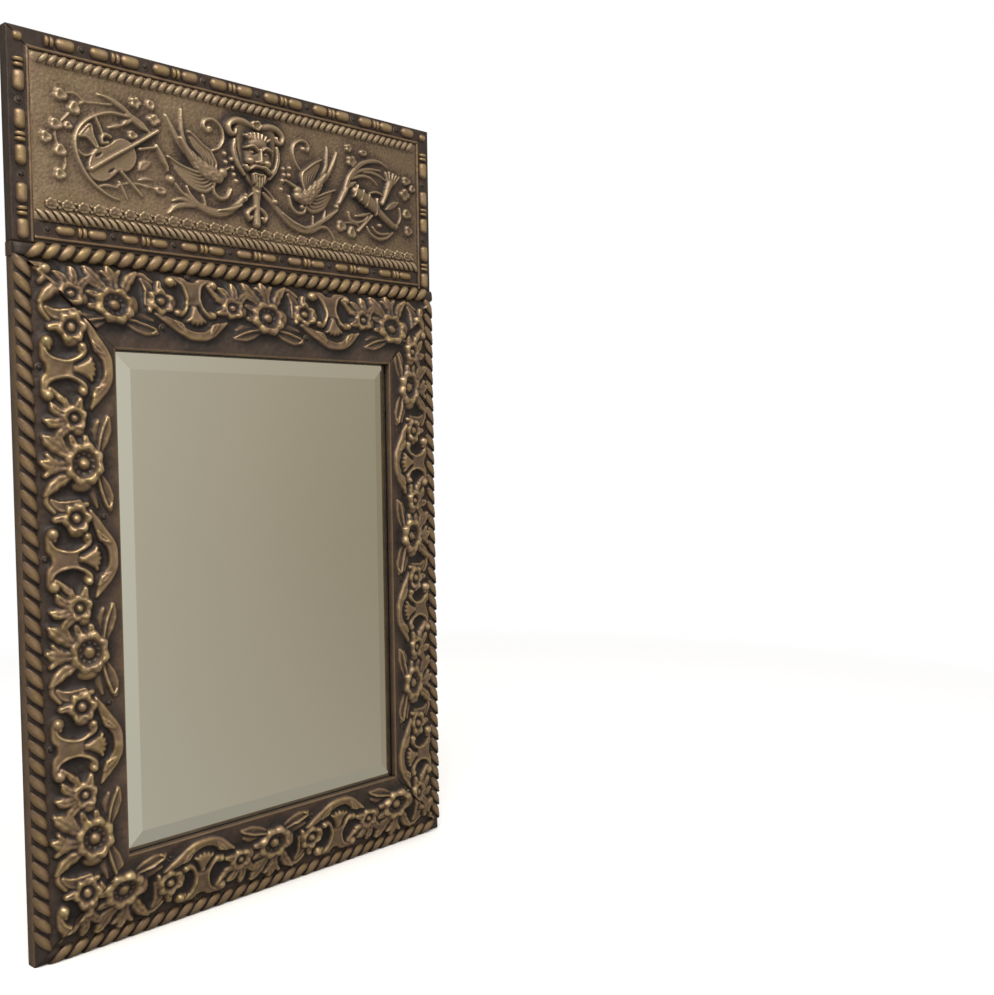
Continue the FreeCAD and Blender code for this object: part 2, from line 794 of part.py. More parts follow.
# Wooden carcass and the floral strips on it
for side in sides:
    shanks = floral_pins(side, pin_shank)
    fixings = keys + dowels + board_screw_solids + tie_screw_solids + shanks
    save("frame_" + side, wood_member(side).cut(fixings))
    save("floral_" + side, floral_strip(side).cut(shanks))
save("corner_keys", Part.makeCompound(keys))
board = box(-half_w + sheet_t, half_w - sheet_t, wood_edge, wood_back, wood_joint, top_z - sheet_t)
save("frieze_board", board.cut(dowels + tie_screw_solids + hanger_shanks + frieze_shanks))
save("joint_dowels", Part.makeCompound(dowels))
for name, sx in (("left", -1), ("right", 1)):
    x = sx * batten_x
    batten = box(x - batten_w / 2, x + batten_w / 2, wood_back, 0.0, batten_low, batten_high)
    save("tie_batten_" + name, batten.cut(tie_screw_solids))
save("tie_screws", slotted_group(tie_screw_solids, tie_screws))

# Glass, packing and backboard
save("mirror_glass", bevelled_glass())
fit_x = rebate_x - packing_play
fit_z = rebate_z - packing_play
inner_x = fit_x - packing_w - packing_play
save("packing_left", packing(-fit_x, -fit_x + packing_w, -fit_z, fit_z))
save("packing_right", packing(fit_x - packing_w, fit_x, -fit_z, fit_z))
save("packing_top", packing(-inner_x, inner_x, fit_z - packing_w, fit_z))
save("packing_bottom", packing(-inner_x, inner_x, -fit_z, -fit_z + packing_w))
save("backboard", box(-board_x, board_x, wood_back, 0.0, -board_z, board_z).cut(board_screw_solids))
save("backboard_screws", slotted_group(board_screw_solids, board_screws))

# Brass of the joint and the frieze
save("joint_rope", joint_rope())
save("frieze_panel", frieze_panel())
save("bead_strip_top", bead_strip_top().cut(frieze_shanks))
save("bead_strip_bottom", bead_strip_bottom().cut(frieze_shanks))
save("bead_strip_left", bead_strip_side(-1).cut(frieze_shanks))
save("bead_strip_right", bead_strip_side(1).cut(frieze_shanks))
save("frieze_pins", Part.makeCompound([to_frieze(pin(x, y)) for x, y in frieze_pin_places()]))
save("floral_pins", Part.makeCompound([p for side in sides for p in floral_pins(side, pin)]))

# Hangers
for name, sx in (("left", -1), ("right", 1)):
    save("hanger_plate_" + name, hanger_plate(sx * hanger_x))
    save("hanger_ring_" + name, hanger_ring(sx * hanger_x))
save("hanger_screws", Part.makeCompound([round_head_screw(sx * hanger_x, hanger_screw_z) for sx in (-1, 1)]))
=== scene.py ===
import math

import bpy
import numpy as np
from mathutils import Matrix, Vector


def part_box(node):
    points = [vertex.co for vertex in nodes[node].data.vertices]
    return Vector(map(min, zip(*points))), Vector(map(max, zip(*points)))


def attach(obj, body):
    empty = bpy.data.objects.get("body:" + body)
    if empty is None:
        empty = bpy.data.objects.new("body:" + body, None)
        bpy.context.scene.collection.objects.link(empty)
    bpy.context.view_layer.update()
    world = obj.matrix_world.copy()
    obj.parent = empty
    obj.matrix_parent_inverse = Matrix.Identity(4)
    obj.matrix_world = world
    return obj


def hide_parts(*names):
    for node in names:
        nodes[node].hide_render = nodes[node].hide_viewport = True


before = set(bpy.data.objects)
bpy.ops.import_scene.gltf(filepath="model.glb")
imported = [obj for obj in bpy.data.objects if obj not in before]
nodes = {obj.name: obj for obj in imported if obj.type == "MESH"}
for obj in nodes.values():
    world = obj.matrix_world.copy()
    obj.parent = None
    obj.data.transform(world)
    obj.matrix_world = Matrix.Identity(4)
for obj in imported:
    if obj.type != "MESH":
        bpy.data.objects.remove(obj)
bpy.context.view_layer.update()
mm = 0.001

# Sizes shared by the brass pieces, in mm: the outline comes from the CAD, the sheet's sizes match it
lowCorner, highCorner = (np.array(corner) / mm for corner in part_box("floral_bottom"))
carcass = {
    "halfW": highCorner[0],
    "halfH": -lowCorner[2],
    "topZ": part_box("bead_strip_top")[1].z / mm,
    "backY": -6.0,           # back of the wood
    "edgeY": -14.62,         # brass at the outer edge
    "flatY": -14.6,          # brass of the frieze
    "stripW": 61.0,
    "rise": 14.4,            # climb of a floral strip to its crest
    "sheet": 0.6,
    "seam": 0.2,
    "jointHalf": 4.7,        # half of the joint rope, with its seam
    "returnDepth": 5.2,
}
slope = math.atan2(carcass["rise"], carcass["stripW"])


# Colours are sRGB hex values
def linear(hexColour):
    channels = [int(hexColour[i:i + 2], 16) / 255 for i in (1, 3, 5)]
    return [c / 12.92 if c <= 0.04045 else ((c + 0.055) / 1.055) ** 2.4 for c in channels] + [1.0]


def perMetre(sizeMm):
    return 1000.0 / sizeMm


# Adds a node: settings are its properties or input values, links are input: output socket
def addNode(tree, kind, settings=None, links=None):
    node = tree.nodes.new(kind)
    for name, value in (settings or {}).items():
        if name == "stops":
            elements = node.color_ramp.elements
            while len(elements) < len(value):
                elements.new(0.5)
            for element, (position, colour) in zip(elements, value):
                element.position = position
                element.color = linear(colour) if isinstance(colour, str) else [colour] * 3 + [1.0]
        elif isinstance(name, str) and hasattr(node, name):
            setattr(node, name, value)
        else:
            node.inputs[name].default_value = value
    for name, source in (links or {}).items():
        tree.links.new(source, node.inputs[name])
    return node


def newMaterial(name):
    material = bpy.data.materials.new(name)
    material.use_nodes = True
    material.node_tree.nodes.clear()
    return material, material.node_tree


def closeMaterial(tree, shader):
    addNode(tree, "ShaderNodeOutputMaterial", links={"Surface": shader.outputs[0]})


# Pressed sheet brass, lacquered dark and rubbed: brown wax-black in the hollows, bare brass on the crowns. The tone
# attribute is 0 in a hollow and 1 on a crown. It carries the patina and the rubbing, together with painted shade in the
# hollows and a painted highlight on crowns and edges.
def pressedBrass(name, look):
    material, tree = newMaterial(name)
    place = addNode(tree, "ShaderNodeTexCoord").outputs["Object"]
    tone = addNode(tree, "ShaderNodeAttribute", {"attribute_name": "tone"}).outputs["Fac"]
    noise = {}
    for part, detail in (("mottle", 4.0), ("speck", 3.0), ("blot", 4.0), ("grit", 2.0), ("dent", 2.0)):
        noise[part] = addNode(tree, "ShaderNodeTexNoise", {"Scale": perMetre(look[part + "Mm"]), "Detail": detail},
                              {"Vector": place}).outputs["Fac"]
    uneven = addNode(tree, "ShaderNodeMath", {"operation": "MULTIPLY_ADD", 1: look["mottle"]},
                     {0: noise["mottle"], 2: tone})
    worn = addNode(tree, "ShaderNodeMath", {"operation": "MULTIPLY_ADD", 1: look["speck"]},
                   {0: noise["speck"], 2: uneven.outputs[0]})
    level = addNode(tree, "ShaderNodeMath", {"operation": "SUBTRACT", 1: (look["mottle"] + look["speck"]) / 2},
                    {0: worn.outputs[0]})
    colour, metal, rough = (
        addNode(tree, "ShaderNodeValToRGB", {"stops": look[part]}, {"Fac": level.outputs[0]}).outputs["Color"]
        for part in ("colours", "metal", "rough"))
    blotFrom, blotTo = look["blotEdge"]
    share = addNode(tree, "ShaderNodeMapRange", {"From Min": blotFrom, "From Max": blotTo, "To Max": look["blot"]},
                    {"Value": noise["blot"]})
    tinted = addNode(tree, "ShaderNodeMix", {"data_type": "RGBA", "blend_type": "COLOR", 7: linear(look["plum"])},
                     {0: share.outputs[0], 6: colour})
    dentDepth, gritDepth = (look[part + "Mm"] * look[part + "Deep"] * mm for part in ("dent", "grit"))
    beaten = addNode(tree, "ShaderNodeBump", {"Strength": look["dent"], "Distance": dentDepth}, {"Height": noise["dent"]})
    bump = addNode(tree, "ShaderNodeBump", {"Strength": look["grit"], "Distance": gritDepth},
                   {"Height": noise["grit"], "Normal": beaten.outputs["Normal"]})
    closeMaterial(tree, addNode(tree, "ShaderNodeBsdfPrincipled", links={
        "Base Color": tinted.outputs[2], "Metallic": metal, "Roughness": rough, "Normal": bump.outputs["Normal"]}))
    return material


brassLook = {
    "mottleMm": 16.0, "mottle": 0.30,                       # slow change of tone
    "speckMm": 2.4, "speck": 0.16,
    "blotMm": 9.0, "blot": 0.48, "blotEdge": (0.4, 0.62),   # plum blots of the old lacquer
    "plum": "#5C4A41",
    "dentMm": 4.6, "dent": 0.8, "dentDeep": 0.1,            # depths are shares of the size
    "gritMm": 1.1, "grit": 0.25, "gritDeep": 0.3,
    "colours": [(0.0, "#1D1512"), (0.25, "#45372D"), (0.5, "#745F46"), (0.75, "#957F59"), (1.0, "#B4A178")],
    "metal": [(0.0, 0.2), (0.3, 0.5), (0.6, 0.7), (1.0, 0.8)],
    "rough": [(0.0, 0.60), (0.4, 0.50), (1.0, 0.42)],
}
embossedBrass = pressedBrass("patinatedPressedBrass", brassLook)
friezeBrass = pressedBrass("patinatedFriezeBrass", dict(
    brassLook, blot=0.42, mottleMm=26.0, mottle=0.22, gritMm=1.6, grit=0.45, dent=0.4,
    colours=[(0.0, "#1C1411"), (0.25, "#45372C"), (0.5, "#7C6A51"), (0.75, "#A29074"), (1.0, "#BFB08F")]))
pinBrass = pressedBrass("blackenedPinBrass", dict(brassLook, mottleMm=3.0))


# Plain cast and bent metal of the hangers and screws, with a light tarnish
def cleanMetal(name, look):
    material, tree = newMaterial(name)
    place = addNode(tree, "ShaderNodeTexCoord").outputs["Object"]
    tarnish = addNode(tree, "ShaderNodeTexNoise", {"Scale": perMetre(look["tarnishMm"]), "Detail": 5.0},
                      {"Vector": place})
    colour, rough = (
        addNode(tree, "ShaderNodeValToRGB", {"stops": look[part]}, {"Fac": tarnish.outputs["Fac"]}).outputs["Color"]
        for part in ("colours", "rough"))
    closeMaterial(tree, addNode(tree, "ShaderNodeBsdfPrincipled", {"Metallic": 1.0},
                                {"Base Color": colour, "Roughness": rough}))
    return material


hangerBrass = cleanMetal("tarnishedSheetBrass", {
    "tarnishMm": 5.0, "colours": [(0.3, "#6E5430"), (0.7, "#B89554")], "rough": [(0.3, 0.5), (0.7, 0.3)]})
screwSteel = cleanMetal("oldScrewSteel", {
    "tarnishMm": 1.5, "colours": [(0.35, "#4A4038"), (0.65, "#8D8880")], "rough": [(0.3, 0.6), (0.7, 0.4)]})


# Sawn pine under a brown stain: long grain lines and fine pores. along is the axis that the grain follows.
def stainedPine(name, along, look):
    material, tree = newMaterial(name)
    place = addNode(tree, "ShaderNodeTexCoord").outputs["Object"]
    stretch = [1.0, 1.0, 1.0]
    stretch["XYZ".index(along)] = look["stretch"]
    turned = addNode(tree, "ShaderNodeMapping", {"Scale": stretch, "Location": look["offset"]}, {"Vector": place})
    grain = addNode(tree, "ShaderNodeTexNoise",
                    {"Scale": perMetre(look["grainMm"]), "Detail": 5.0, "Roughness": 0.6, "Distortion": look["wave"]},
                    {"Vector": turned.outputs["Vector"]})
    pores = addNode(tree, "ShaderNodeTexNoise", {"Scale": perMetre(look["poreMm"]), "Detail": 2.0},
                    {"Vector": turned.outputs["Vector"]})
    mixed = addNode(tree, "ShaderNodeMath", {"operation": "MULTIPLY_ADD", 1: look["pores"]},
                    {0: pores.outputs["Fac"], 2: grain.outputs["Fac"]})
    colour = addNode(tree, "ShaderNodeValToRGB", {"stops": look["colours"]}, {"Fac": mixed.outputs[0]})
    bump = addNode(tree, "ShaderNodeBump", {"Strength": look["bump"], "Distance": look["bumpMm"] * mm},
                   {"Height": mixed.outputs[0]})
    closeMaterial(tree, addNode(tree, "ShaderNodeBsdfPrincipled", {"Roughness": look["rough"]}, {
        "Base Color": colour.outputs["Color"], "Normal": bump.outputs["Normal"]}))
    return material


pineLook = {
    "offset": (0, 0, 0), "grainMm": 9.0, "wave": 0.6, "stretch": 0.06, "poreMm": 1.2, "pores": 0.35,
    "bump": 0.3, "bumpMm": 0.3, "rough": 0.68,
    "colours": [(0.4, "#3A281A"), (0.62, "#5E4229"), (0.85, "#7A5A3A")],
}
frameWood = {"X": stainedPine("stainedPineAcross", "X", pineLook), "Z": stainedPine("stainedPineUpright", "Z", pineLook)}
boardWood = stainedPine("rawPineBoard", "Z", dict(
    pineLook, grainMm=14.0, poreMm=1.4, stretch=0.05, colours=[(0.4, "#6B4F33"), (0.62, "#8F6E4A"), (0.85, "#A98860")]))
friezeWood = stainedPine("stainedPineWideBoard", "X", dict(
    pineLook, offset=(0.7, 0.3, 0.5), grainMm=12.0, colours=[(0.4, "#443021"), (0.62, "#694B30"), (0.85, "#846443")]))


# Silvered plate glass, a little green, with dark spots where the silver has gone near the right edge
def silveredGlass(look):
    material, tree = newMaterial("silveredGlass")
    place = addNode(tree, "ShaderNodeTexCoord").outputs["Object"]
    spots = addNode(tree, "ShaderNodeTexVoronoi", {"Scale": perMetre(look["spotMm"]), "Randomness": 1.0},
                    {"Vector": place})
    dot = addNode(tree, "ShaderNodeMapRange", {"From Min": look["spotEdge"][0], "From Max": look["spotEdge"][1]},
                  {"Value": spots.outputs["Distance"]})
    patch = addNode(tree, "ShaderNodeTexNoise", {"Scale": perMetre(look["patchMm"]), "Detail": 2.0}, {"Vector": place})
    axes = addNode(tree, "ShaderNodeSeparateXYZ", links={"Vector": place})
    near = addNode(tree, "ShaderNodeMapRange", {"From Min": look["edgeFrom"] * mm, "From Max": look["edgeTo"] * mm},
                   {"Value": axes.outputs["X"]})
    where = addNode(tree, "ShaderNodeMath", {"operation": "MULTIPLY"}, {0: near.outputs[0], 1: patch.outputs["Fac"]})
    gone = addNode(tree, "ShaderNodeMath", {"operation": "GREATER_THAN", 1: look["patchLimit"]}, {0: where.outputs[0]})
    dark = addNode(tree, "ShaderNodeMath", {"operation": "MULTIPLY"}, {0: dot.outputs[0], 1: gone.outputs[0]})
    colour = addNode(tree, "ShaderNodeMix", {"data_type": "RGBA", 6: linear(look["silver"]), 7: linear(look["spot"])},
                     {0: dark.outputs[0]})
    closeMaterial(tree, addNode(
        tree, "ShaderNodeBsdfPrincipled",
        {"Metallic": 1.0, "Roughness": look["rough"], "Coat Weight": look["coat"], "Coat Roughness": 0.0},
        {"Base Color": colour.outputs[2]}))
    return material


mirrorGlass = silveredGlass({
    "silver": "#DDE0D8", "rough": 0.015, "coat": 0.5, "spot": "#2A241E", "spotMm": 7.0, "spotEdge": (0.22, 0.12),
    "patchMm": 60.0, "patchLimit": 0.52, "edgeFrom": 85.0, "edgeTo": 122.0})
print("materials made")


# Relief kit. A plate is a height map in mm over x and y; forms are pressed up out of it.
def blankPlate(x0, x1, y0, y1, step, wraps=False):
    xs, ys = (np.arange(low + step / 2, high, step) for low, high in ((x0, x1), (y0, y1)))
    return {"xs": xs, "ys": ys, "h": np.zeros((len(ys), len(xs))), "step": step, "wraps": wraps,
            "shifts": (0.0, x0 - x1, x1 - x0) if wraps else (0.0,)}


def press(plate, x, y, reach, form, join=np.maximum):
    for shift in plate["shifts"]:
        i0, i1 = np.searchsorted(plate["ys"], (y - reach, y + reach))
        j0, j1 = np.searchsorted(plate["xs"], (x + shift - reach, x + shift + reach))
        if i0 < i1 and j0 < j1:
            dx = plate["xs"][None, j0:j1] - x - shift
            dy = plate["ys"][i0:i1, None] - y
            patch = plate["h"][i0:i1, j0:j1]
            patch[:] = join(patch, form(dx, dy))


# 0 in the middle of a turned ellipse, 1 on its edge
def ellipse(dx, dy, rx, ry, turn):
    c, s = math.cos(math.radians(turn)), math.sin(math.radians(turn))
    return ((dx * c + dy * s) / rx) ** 2 + ((dy * c - dx * s) / ry) ** 2


def boss(plate, x, y, rx, ry, h, turn=0.0, blunt=0.5):
    def form(dx, dy):
        return h * np.clip(1 - ellipse(dx, dy, rx, ry, turn), 0, None) ** blunt
    press(plate, x, y, max(rx, ry), form)


# Takes the sheet down to a level: a dimple round a pin, or a slot
def sink(plate, x, y, rx, ry, level, turn=0.0, flare=0.0):
    def form(dx, dy):
        q = ellipse(dx, dy, rx, ry, turn)
        return np.where(q < 1, level + flare * q * q, 1e3)
    press(plate, x, y, max(rx, ry), form, np.minimum)


# Sections across a stroke: d runs from -1 to 1 across it and f from 0 to 1 along it
def roundTop(d, f):
    return np.sqrt(np.clip(1 - d * d, 0, None))


def leafTop(d, f):
    rise = np.clip(1 - np.abs(d) ** 2.4, 0, None) ** 0.5
    return rise * (1 - 0.26 * np.exp(-(d / 0.18) ** 2) + 0.04 * np.sin(math.tau * (4 * f - 0.8 * np.abs(d))))


def ribbonTop(d, f):
    return np.clip(1 - d ** 6, 0, None) ** 0.5 * (0.84 + 0.16 * d * d + 0.08 * np.exp(-((d - 0.1) / 0.2) ** 2))


# A leaf with its edges turned up
def curledTop(d, f):
    return np.clip(1 - d ** 8, 0, None) ** 0.5 * (0.56 + 0.44 * np.abs(d) ** 3)


# A fleshy leaf with a faint vein and a rolling face
def lobeTop(d, f):
    rise = np.clip(1 - np.abs(d) ** 2.6, 0, None) ** 0.55
    return rise * (1 - 0.15 * np.exp(-(d / 0.2) ** 2) + 0.03 * np.sin(math.tau * (3 * f - 0.7 * np.abs(d))))


def featherTop(d, f):
    return np.clip(1 - d * d, 0, None) ** 0.42 * (0.75 + 0.25 * np.cos(math.tau * (2.1 * d + 0.5 * f)))


# A quill with a sharp shaft, rising towards the body
def quillTop(d, f):
    return (0.45 + 0.55 * f) * np.clip(1 - np.abs(d), 0, None) ** 0.6


def smoothLine(points, gap=0.9):
    p = np.array([points[0]] + list(points) + [points[-1]], float)
    line = []
    for a, b, c, d in zip(p[:-3], p[1:-2], p[2:-1], p[3:]):
        count = max(2, int(np.hypot(*(c - b)) / gap))
        for t in np.arange(count) / count:
            line.append(0.5 * (2 * b + (c - a) * t + (2 * a - 5 * b + 4 * c - d) * t * t
                               + (3 * b - a - 3 * c + d) * t ** 3))
    return np.array(line + [p[-1]])


def runAlong(line):
    return np.concatenate([[0], np.cumsum(np.hypot(*np.diff(line, axis=0).T))])


def stroke(plate, points, widths, height, section=roundTop):
    line = smoothLine(points)
    run = runAlong(line)
    run /= run[-1]
    stations = np.linspace(0, 1, len(widths))
    middle = (line.min(0) + line.max(0)) / 2
    reach = np.abs(line - middle).max() + max(widths)

    def form(dx, dy):
        px, py = dx + middle[0] + 0 * dy, dy + middle[1] + 0 * dx
        near = np.full(px.shape, 1e9)
        along, side = np.zeros(px.shape), np.ones(px.shape)
        for (ax, ay), (bx, by), fa, fb in zip(line[:-1], line[1:], run[:-1], run[1:]):
            ex, ey = bx - ax, by - ay
            rx, ry = px - ax, py - ay
            t = np.clip((rx * ex + ry * ey) / (ex * ex + ey * ey), 0, 1)
            gap = (rx - t * ex) ** 2 + (ry - t * ey) ** 2
            closer = gap < near
            near[closer] = gap[closer]
            along[closer] = (fa + t * (fb - fa))[closer]
            side[closer] = np.sign(ex * ry - ey * rx)[closer]
        d = side * np.sqrt(near) / np.interp(along, stations, widths)
        return np.where(np.abs(d) < 1, height * section(np.clip(d, -1, 1), along), 0)
    press(plate, *middle, reach, form)


def evenLine(points, count):
    line = smoothLine(points)
    run = runAlong(line)
    at = np.linspace(0, run[-1], count)
    return np.stack([np.interp(at, run, line[:, 0]), np.interp(at, run, line[:, 1])], -1)


# A wing: quills fanned between its leading and trailing edges, the trailing ones shorter
def wing(plate, feathers, height, lead, trail):
    lead, trail = evenLine(lead, 12), evenLine(trail, 12)
    half = 0.5 * np.hypot(*(trail - lead).T) / (feathers - 1)
    for share in np.linspace(0, 1, feathers):
        first = round(2.4 * share)
        stroke(plate, (lead + share * (trail - lead))[first:], 1.1 * half[first:] + 0.35, height * (1 - 0.2 * share),
               quillTop)
    stroke(plate, lead, [0.5, 0.9, 1.0, 0.9], 1.1 * height)


# Small breast feathers over a bird's body
def plumage(plate, points, widths, height, seed):
    line = smoothLine(points)
    ahead = np.gradient(line, axis=0)
    pick = np.random.default_rng(seed)
    tufts = [pick.uniform(least, most, 64) for least, most in ((0.3, 1.0), (-0.85, 0.85), (0.7, 1.2))]
    for along, aside, size in zip(*tufts):
        k = int(along * (len(line) - 1))
        half = np.interp(along, np.linspace(0, 1, len(widths)), widths)
        across = np.array([-ahead[k, 1], ahead[k, 0]]) / np.hypot(*ahead[k])
        boss(plate, *(line[k] + across * aside * half), size * 2.7, size * 0.9,
             height * math.sqrt(1 - aside * aside) + 1.0, math.degrees(math.atan2(ahead[k, 1], ahead[k, 0])))


# A raised plate inside an outline, rounded over at its edge
def slab(plate, outline, height, edge):
    loop = np.array(list(outline) + [outline[0]], float)
    middle = (loop.min(0) + loop.max(0)) / 2

    def form(dx, dy):
        px, py = dx + middle[0] + 0 * dy, dy + middle[1] + 0 * dx
        inside = np.zeros(px.shape, bool)
        near = np.full(px.shape, 1e9)
        for (ax, ay), (bx, by) in zip(loop[:-1], loop[1:]):
            ex, ey = bx - ax, by - ay
            t = np.clip(((px - ax) * ex + (py - ay) * ey) / (ex * ex + ey * ey), 0, 1)
            near = np.minimum(near, (px - ax - t * ex) ** 2 + (py - ay - t * ey) ** 2)
            if ay != by:
                inside ^= ((ay > py) != (by > py)) & (px < ax + (py - ay) * ex / ey)
        depth = np.clip(np.sqrt(near) / edge, 0, 1)
        return np.where(inside, height * np.sqrt(1 - (1 - depth) ** 2), 0)
    press(plate, *middle, np.abs(loop - middle).max(), form)


# A round flower: levels are (radius as a share, height), petals scallop its edge and fold its face
def bloom(plate, x, y, rx, ry, petals, levels, scallop, fold, turn=0.0, point=1.0):
    shares, heights = zip(*levels)

    def form(dx, dy):
        angle = np.arctan2(dy / ry, dx / rx)
        between = 0.5 - 0.5 * np.cos(petals * angle + math.radians(turn))
        q = np.hypot(dx / rx, dy / ry) / (1 - scallop * between ** point)
        outer = np.clip((q - 0.55) / 0.25, 0, 1)
        return np.interp(q, shares, heights, right=0.0) * (1 - fold * between ** 3 * outer)
    press(plate, x, y, max(rx, ry), form)


def soften(h, sigma, wraps):
    reach = max(1, int(3 * sigma))
    taps = np.exp(-0.5 * (np.arange(-reach, reach + 1) / sigma) ** 2)
    taps /= taps.sum()
    for axis in (0, 1):
        pad = [(0, 0), (0, 0)]
        pad[axis] = (reach, reach)
        wide = np.pad(h, pad, mode="wrap" if wraps and axis == 1 else "edge")
        h = sum(w * np.take(wide, range(k, k + h.shape[axis]), axis=axis) for k, w in enumerate(taps))
    return h


# How dark or rubbed the sheet is: crowns and edges are painted lighter, as rubbing and as a painted highlight; hollows
# and the ground beside the forms are painted dimmer, as patina and as painted shade
def toneOf(plate, look):
    h, step, wraps = plate["h"], plate["step"], plate["wraps"]
    fine = h - soften(h, look["fineMm"] / step, wraps)
    broad = h - soften(h, look["broadMm"] / step, wraps)
    # the negative broad term is painted shade beside the forms, standing in for the occlusion of the relief
    broad = np.minimum(broad, 0) + look["rub"] * np.maximum(broad, 0)
    tone = look["ground"] + look["lift"] * h / look["full"] + look["fine"] * fine + look["broad"] * broad
    return np.clip(tone, 0, 1)


# The field between four neighbouring cells
def blendCells(field, i, j, right, fx, fy):
    return ((field[i, j] * (1 - fx) + field[i, right] * fx) * (1 - fy)
            + (field[i + 1, j] * (1 - fx) + field[i + 1, right] * fx) * fy)


def sample(plate, field, x, y):
    rows, cols = field.shape
    gx, gy = (x - plate["xs"][0]) / plate["step"], (y - plate["ys"][0]) / plate["step"]
    gx = np.mod(gx, cols) if plate["wraps"] else np.clip(gx, 0, cols - 1.001)
    gy = np.clip(gy, 0, rows - 1.001)
    j, i = np.floor(gx).astype(int), np.floor(gy).astype(int)
    return blendCells(field, i, np.mod(j, cols), np.mod(j + 1, cols), gx - j, gy - i)


# Slow unevenness of hand-worked sheet, from -1 to 1
def wander(x, y, size, seed):
    lattice = np.random.default_rng(seed).uniform(-1, 1, (97, 97))
    gx, gy = x / size + 48, y / size + 48
    j, i = np.floor(gx).astype(int), np.floor(gy).astype(int)
    fx, fy = gx - j, gy - i
    fx, fy = fx * fx * (3 - 2 * fx), fy * fy * (3 - 2 * fy)
    i, j = i % 96, j % 96
    return blendCells(lattice, i, j, j + 1, fx, fy)


def grid(x, y, z):
    return np.stack(np.broadcast_arrays(x, y, z), -1)


# Steps of a turned form's profile, and the angles round it
def turning(path, sides):
    first, second = (np.array(column)[None, :] for column in zip(*path))
    return first, second, np.linspace(0, math.tau, sides, endpoint=False)[:, None]


# A closed skin from rings of points: rings[row, column] runs round the sheet's section and along it
def skinMesh(name, rings, tone, flip, smoothRows):
    rows, cols = rings.shape[:2]
    index = np.arange(rows * cols).reshape(rows, cols)
    below = np.roll(index, -1, axis=0)
    quads = np.stack([index[:, :-1], index[:, 1:], below[:, 1:], below[:, :-1]], -1).reshape(-1, 4)
    caps = [index[:, 0], index[::-1, -1]]
    faces = [list(f[::-1]) if flip else list(f) for f in quads.tolist() + [c.tolist() for c in caps]]
    mesh = bpy.data.meshes.new(name)
    mesh.from_pydata((rings.reshape(-1, 3) * mm).tolist(), [], faces)
    mesh.attributes.new("tone", "FLOAT", "POINT").data.foreach_set("value", tone.astype(np.float32).ravel())
    smooth = np.repeat(np.arange(rows) < smoothRows - 1, cols - 1)
    mesh.polygons.foreach_set("use_smooth", np.concatenate([smooth, [False, False]]))
    mesh.update()
    return mesh


def putPiece(name, mesh, finish, slot, *replaced):
    piece = bpy.data.objects.new(name, mesh)
    bpy.context.scene.collection.objects.link(piece)
    mesh.materials.clear()
    mesh.materials.append(finish)
    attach(piece, "mirror")
    if replaced:
        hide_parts(*replaced)


# Floral strips: one die pressed along all four sides. s runs along a strip from a large flower, t across it.
floral = {
    "repeat": 123.2,
    "across": 63.0,
    "pinAt": ((62.0, 12.6), (36.0, 50.5)),
    "dieStep": 0.25,
    "soften": 0.42,
    "swellMm": 2.2,          # the sheet draws up round the forms
    "swell": 0.8,
    "depth": 0.74,           # share of the die's depth that the sheet takes
    "flowerAt": {"top": 3.6, "bottom": -1.5, "left": 28.3, "right": -28.8},
    "lift": {"top": 4.5, "bottom": -1.0, "left": -1.2, "right": -1.2},     # pattern nearer the outer edge
    "alongStep": 0.66,
    "acrossStep": 0.58,
    "reliefFrom": 9.9,       # clear of the rope
    "reliefTo": 59.8,        # plain band at the sight edge
    "ropeBed": 1.8,
    "ropeIn": 0.5,
    "ropeW": 9.2,
    "wrapY": -10.0,          # halfway round the outer side
    "crest": ((0.7, 0.15, 0.5), (0.2, 0.4, 0.55), (0, 1.0, 0.42), (0, 4.0, 0.2)),      # in from the crest, back, tone
    "wrapTone": (0.34, 0.34, 0.42, 0.45),
    "bedTone": 0.12,
    "backTone": 0.1,
    "swing": ((31, 0.10), (5.2, 0.17)),      # size in mm and share by which the pressing's depth varies
    "ripple": ((9, 1.0), (3.1, 0.8)),        # size in mm and weight of the sheet's unevenness
    "uneven": 0.28,
    # painted shade by side: the top strip, which faces the key light, is painted dimmer, and the left strip a little
    # lighter
    "paintedShadeBySide": {"top": 0.11, "bottom": 0.0, "left": -0.02, "right": 0.02},
    "tone": {"fineMm": 1.0, "broadMm": 4.6, "ground": 0.33, "lift": 0.10, "full": 6.0,
             "fine": 0.44, "broad": 0.15, "rub": 0.58},
}


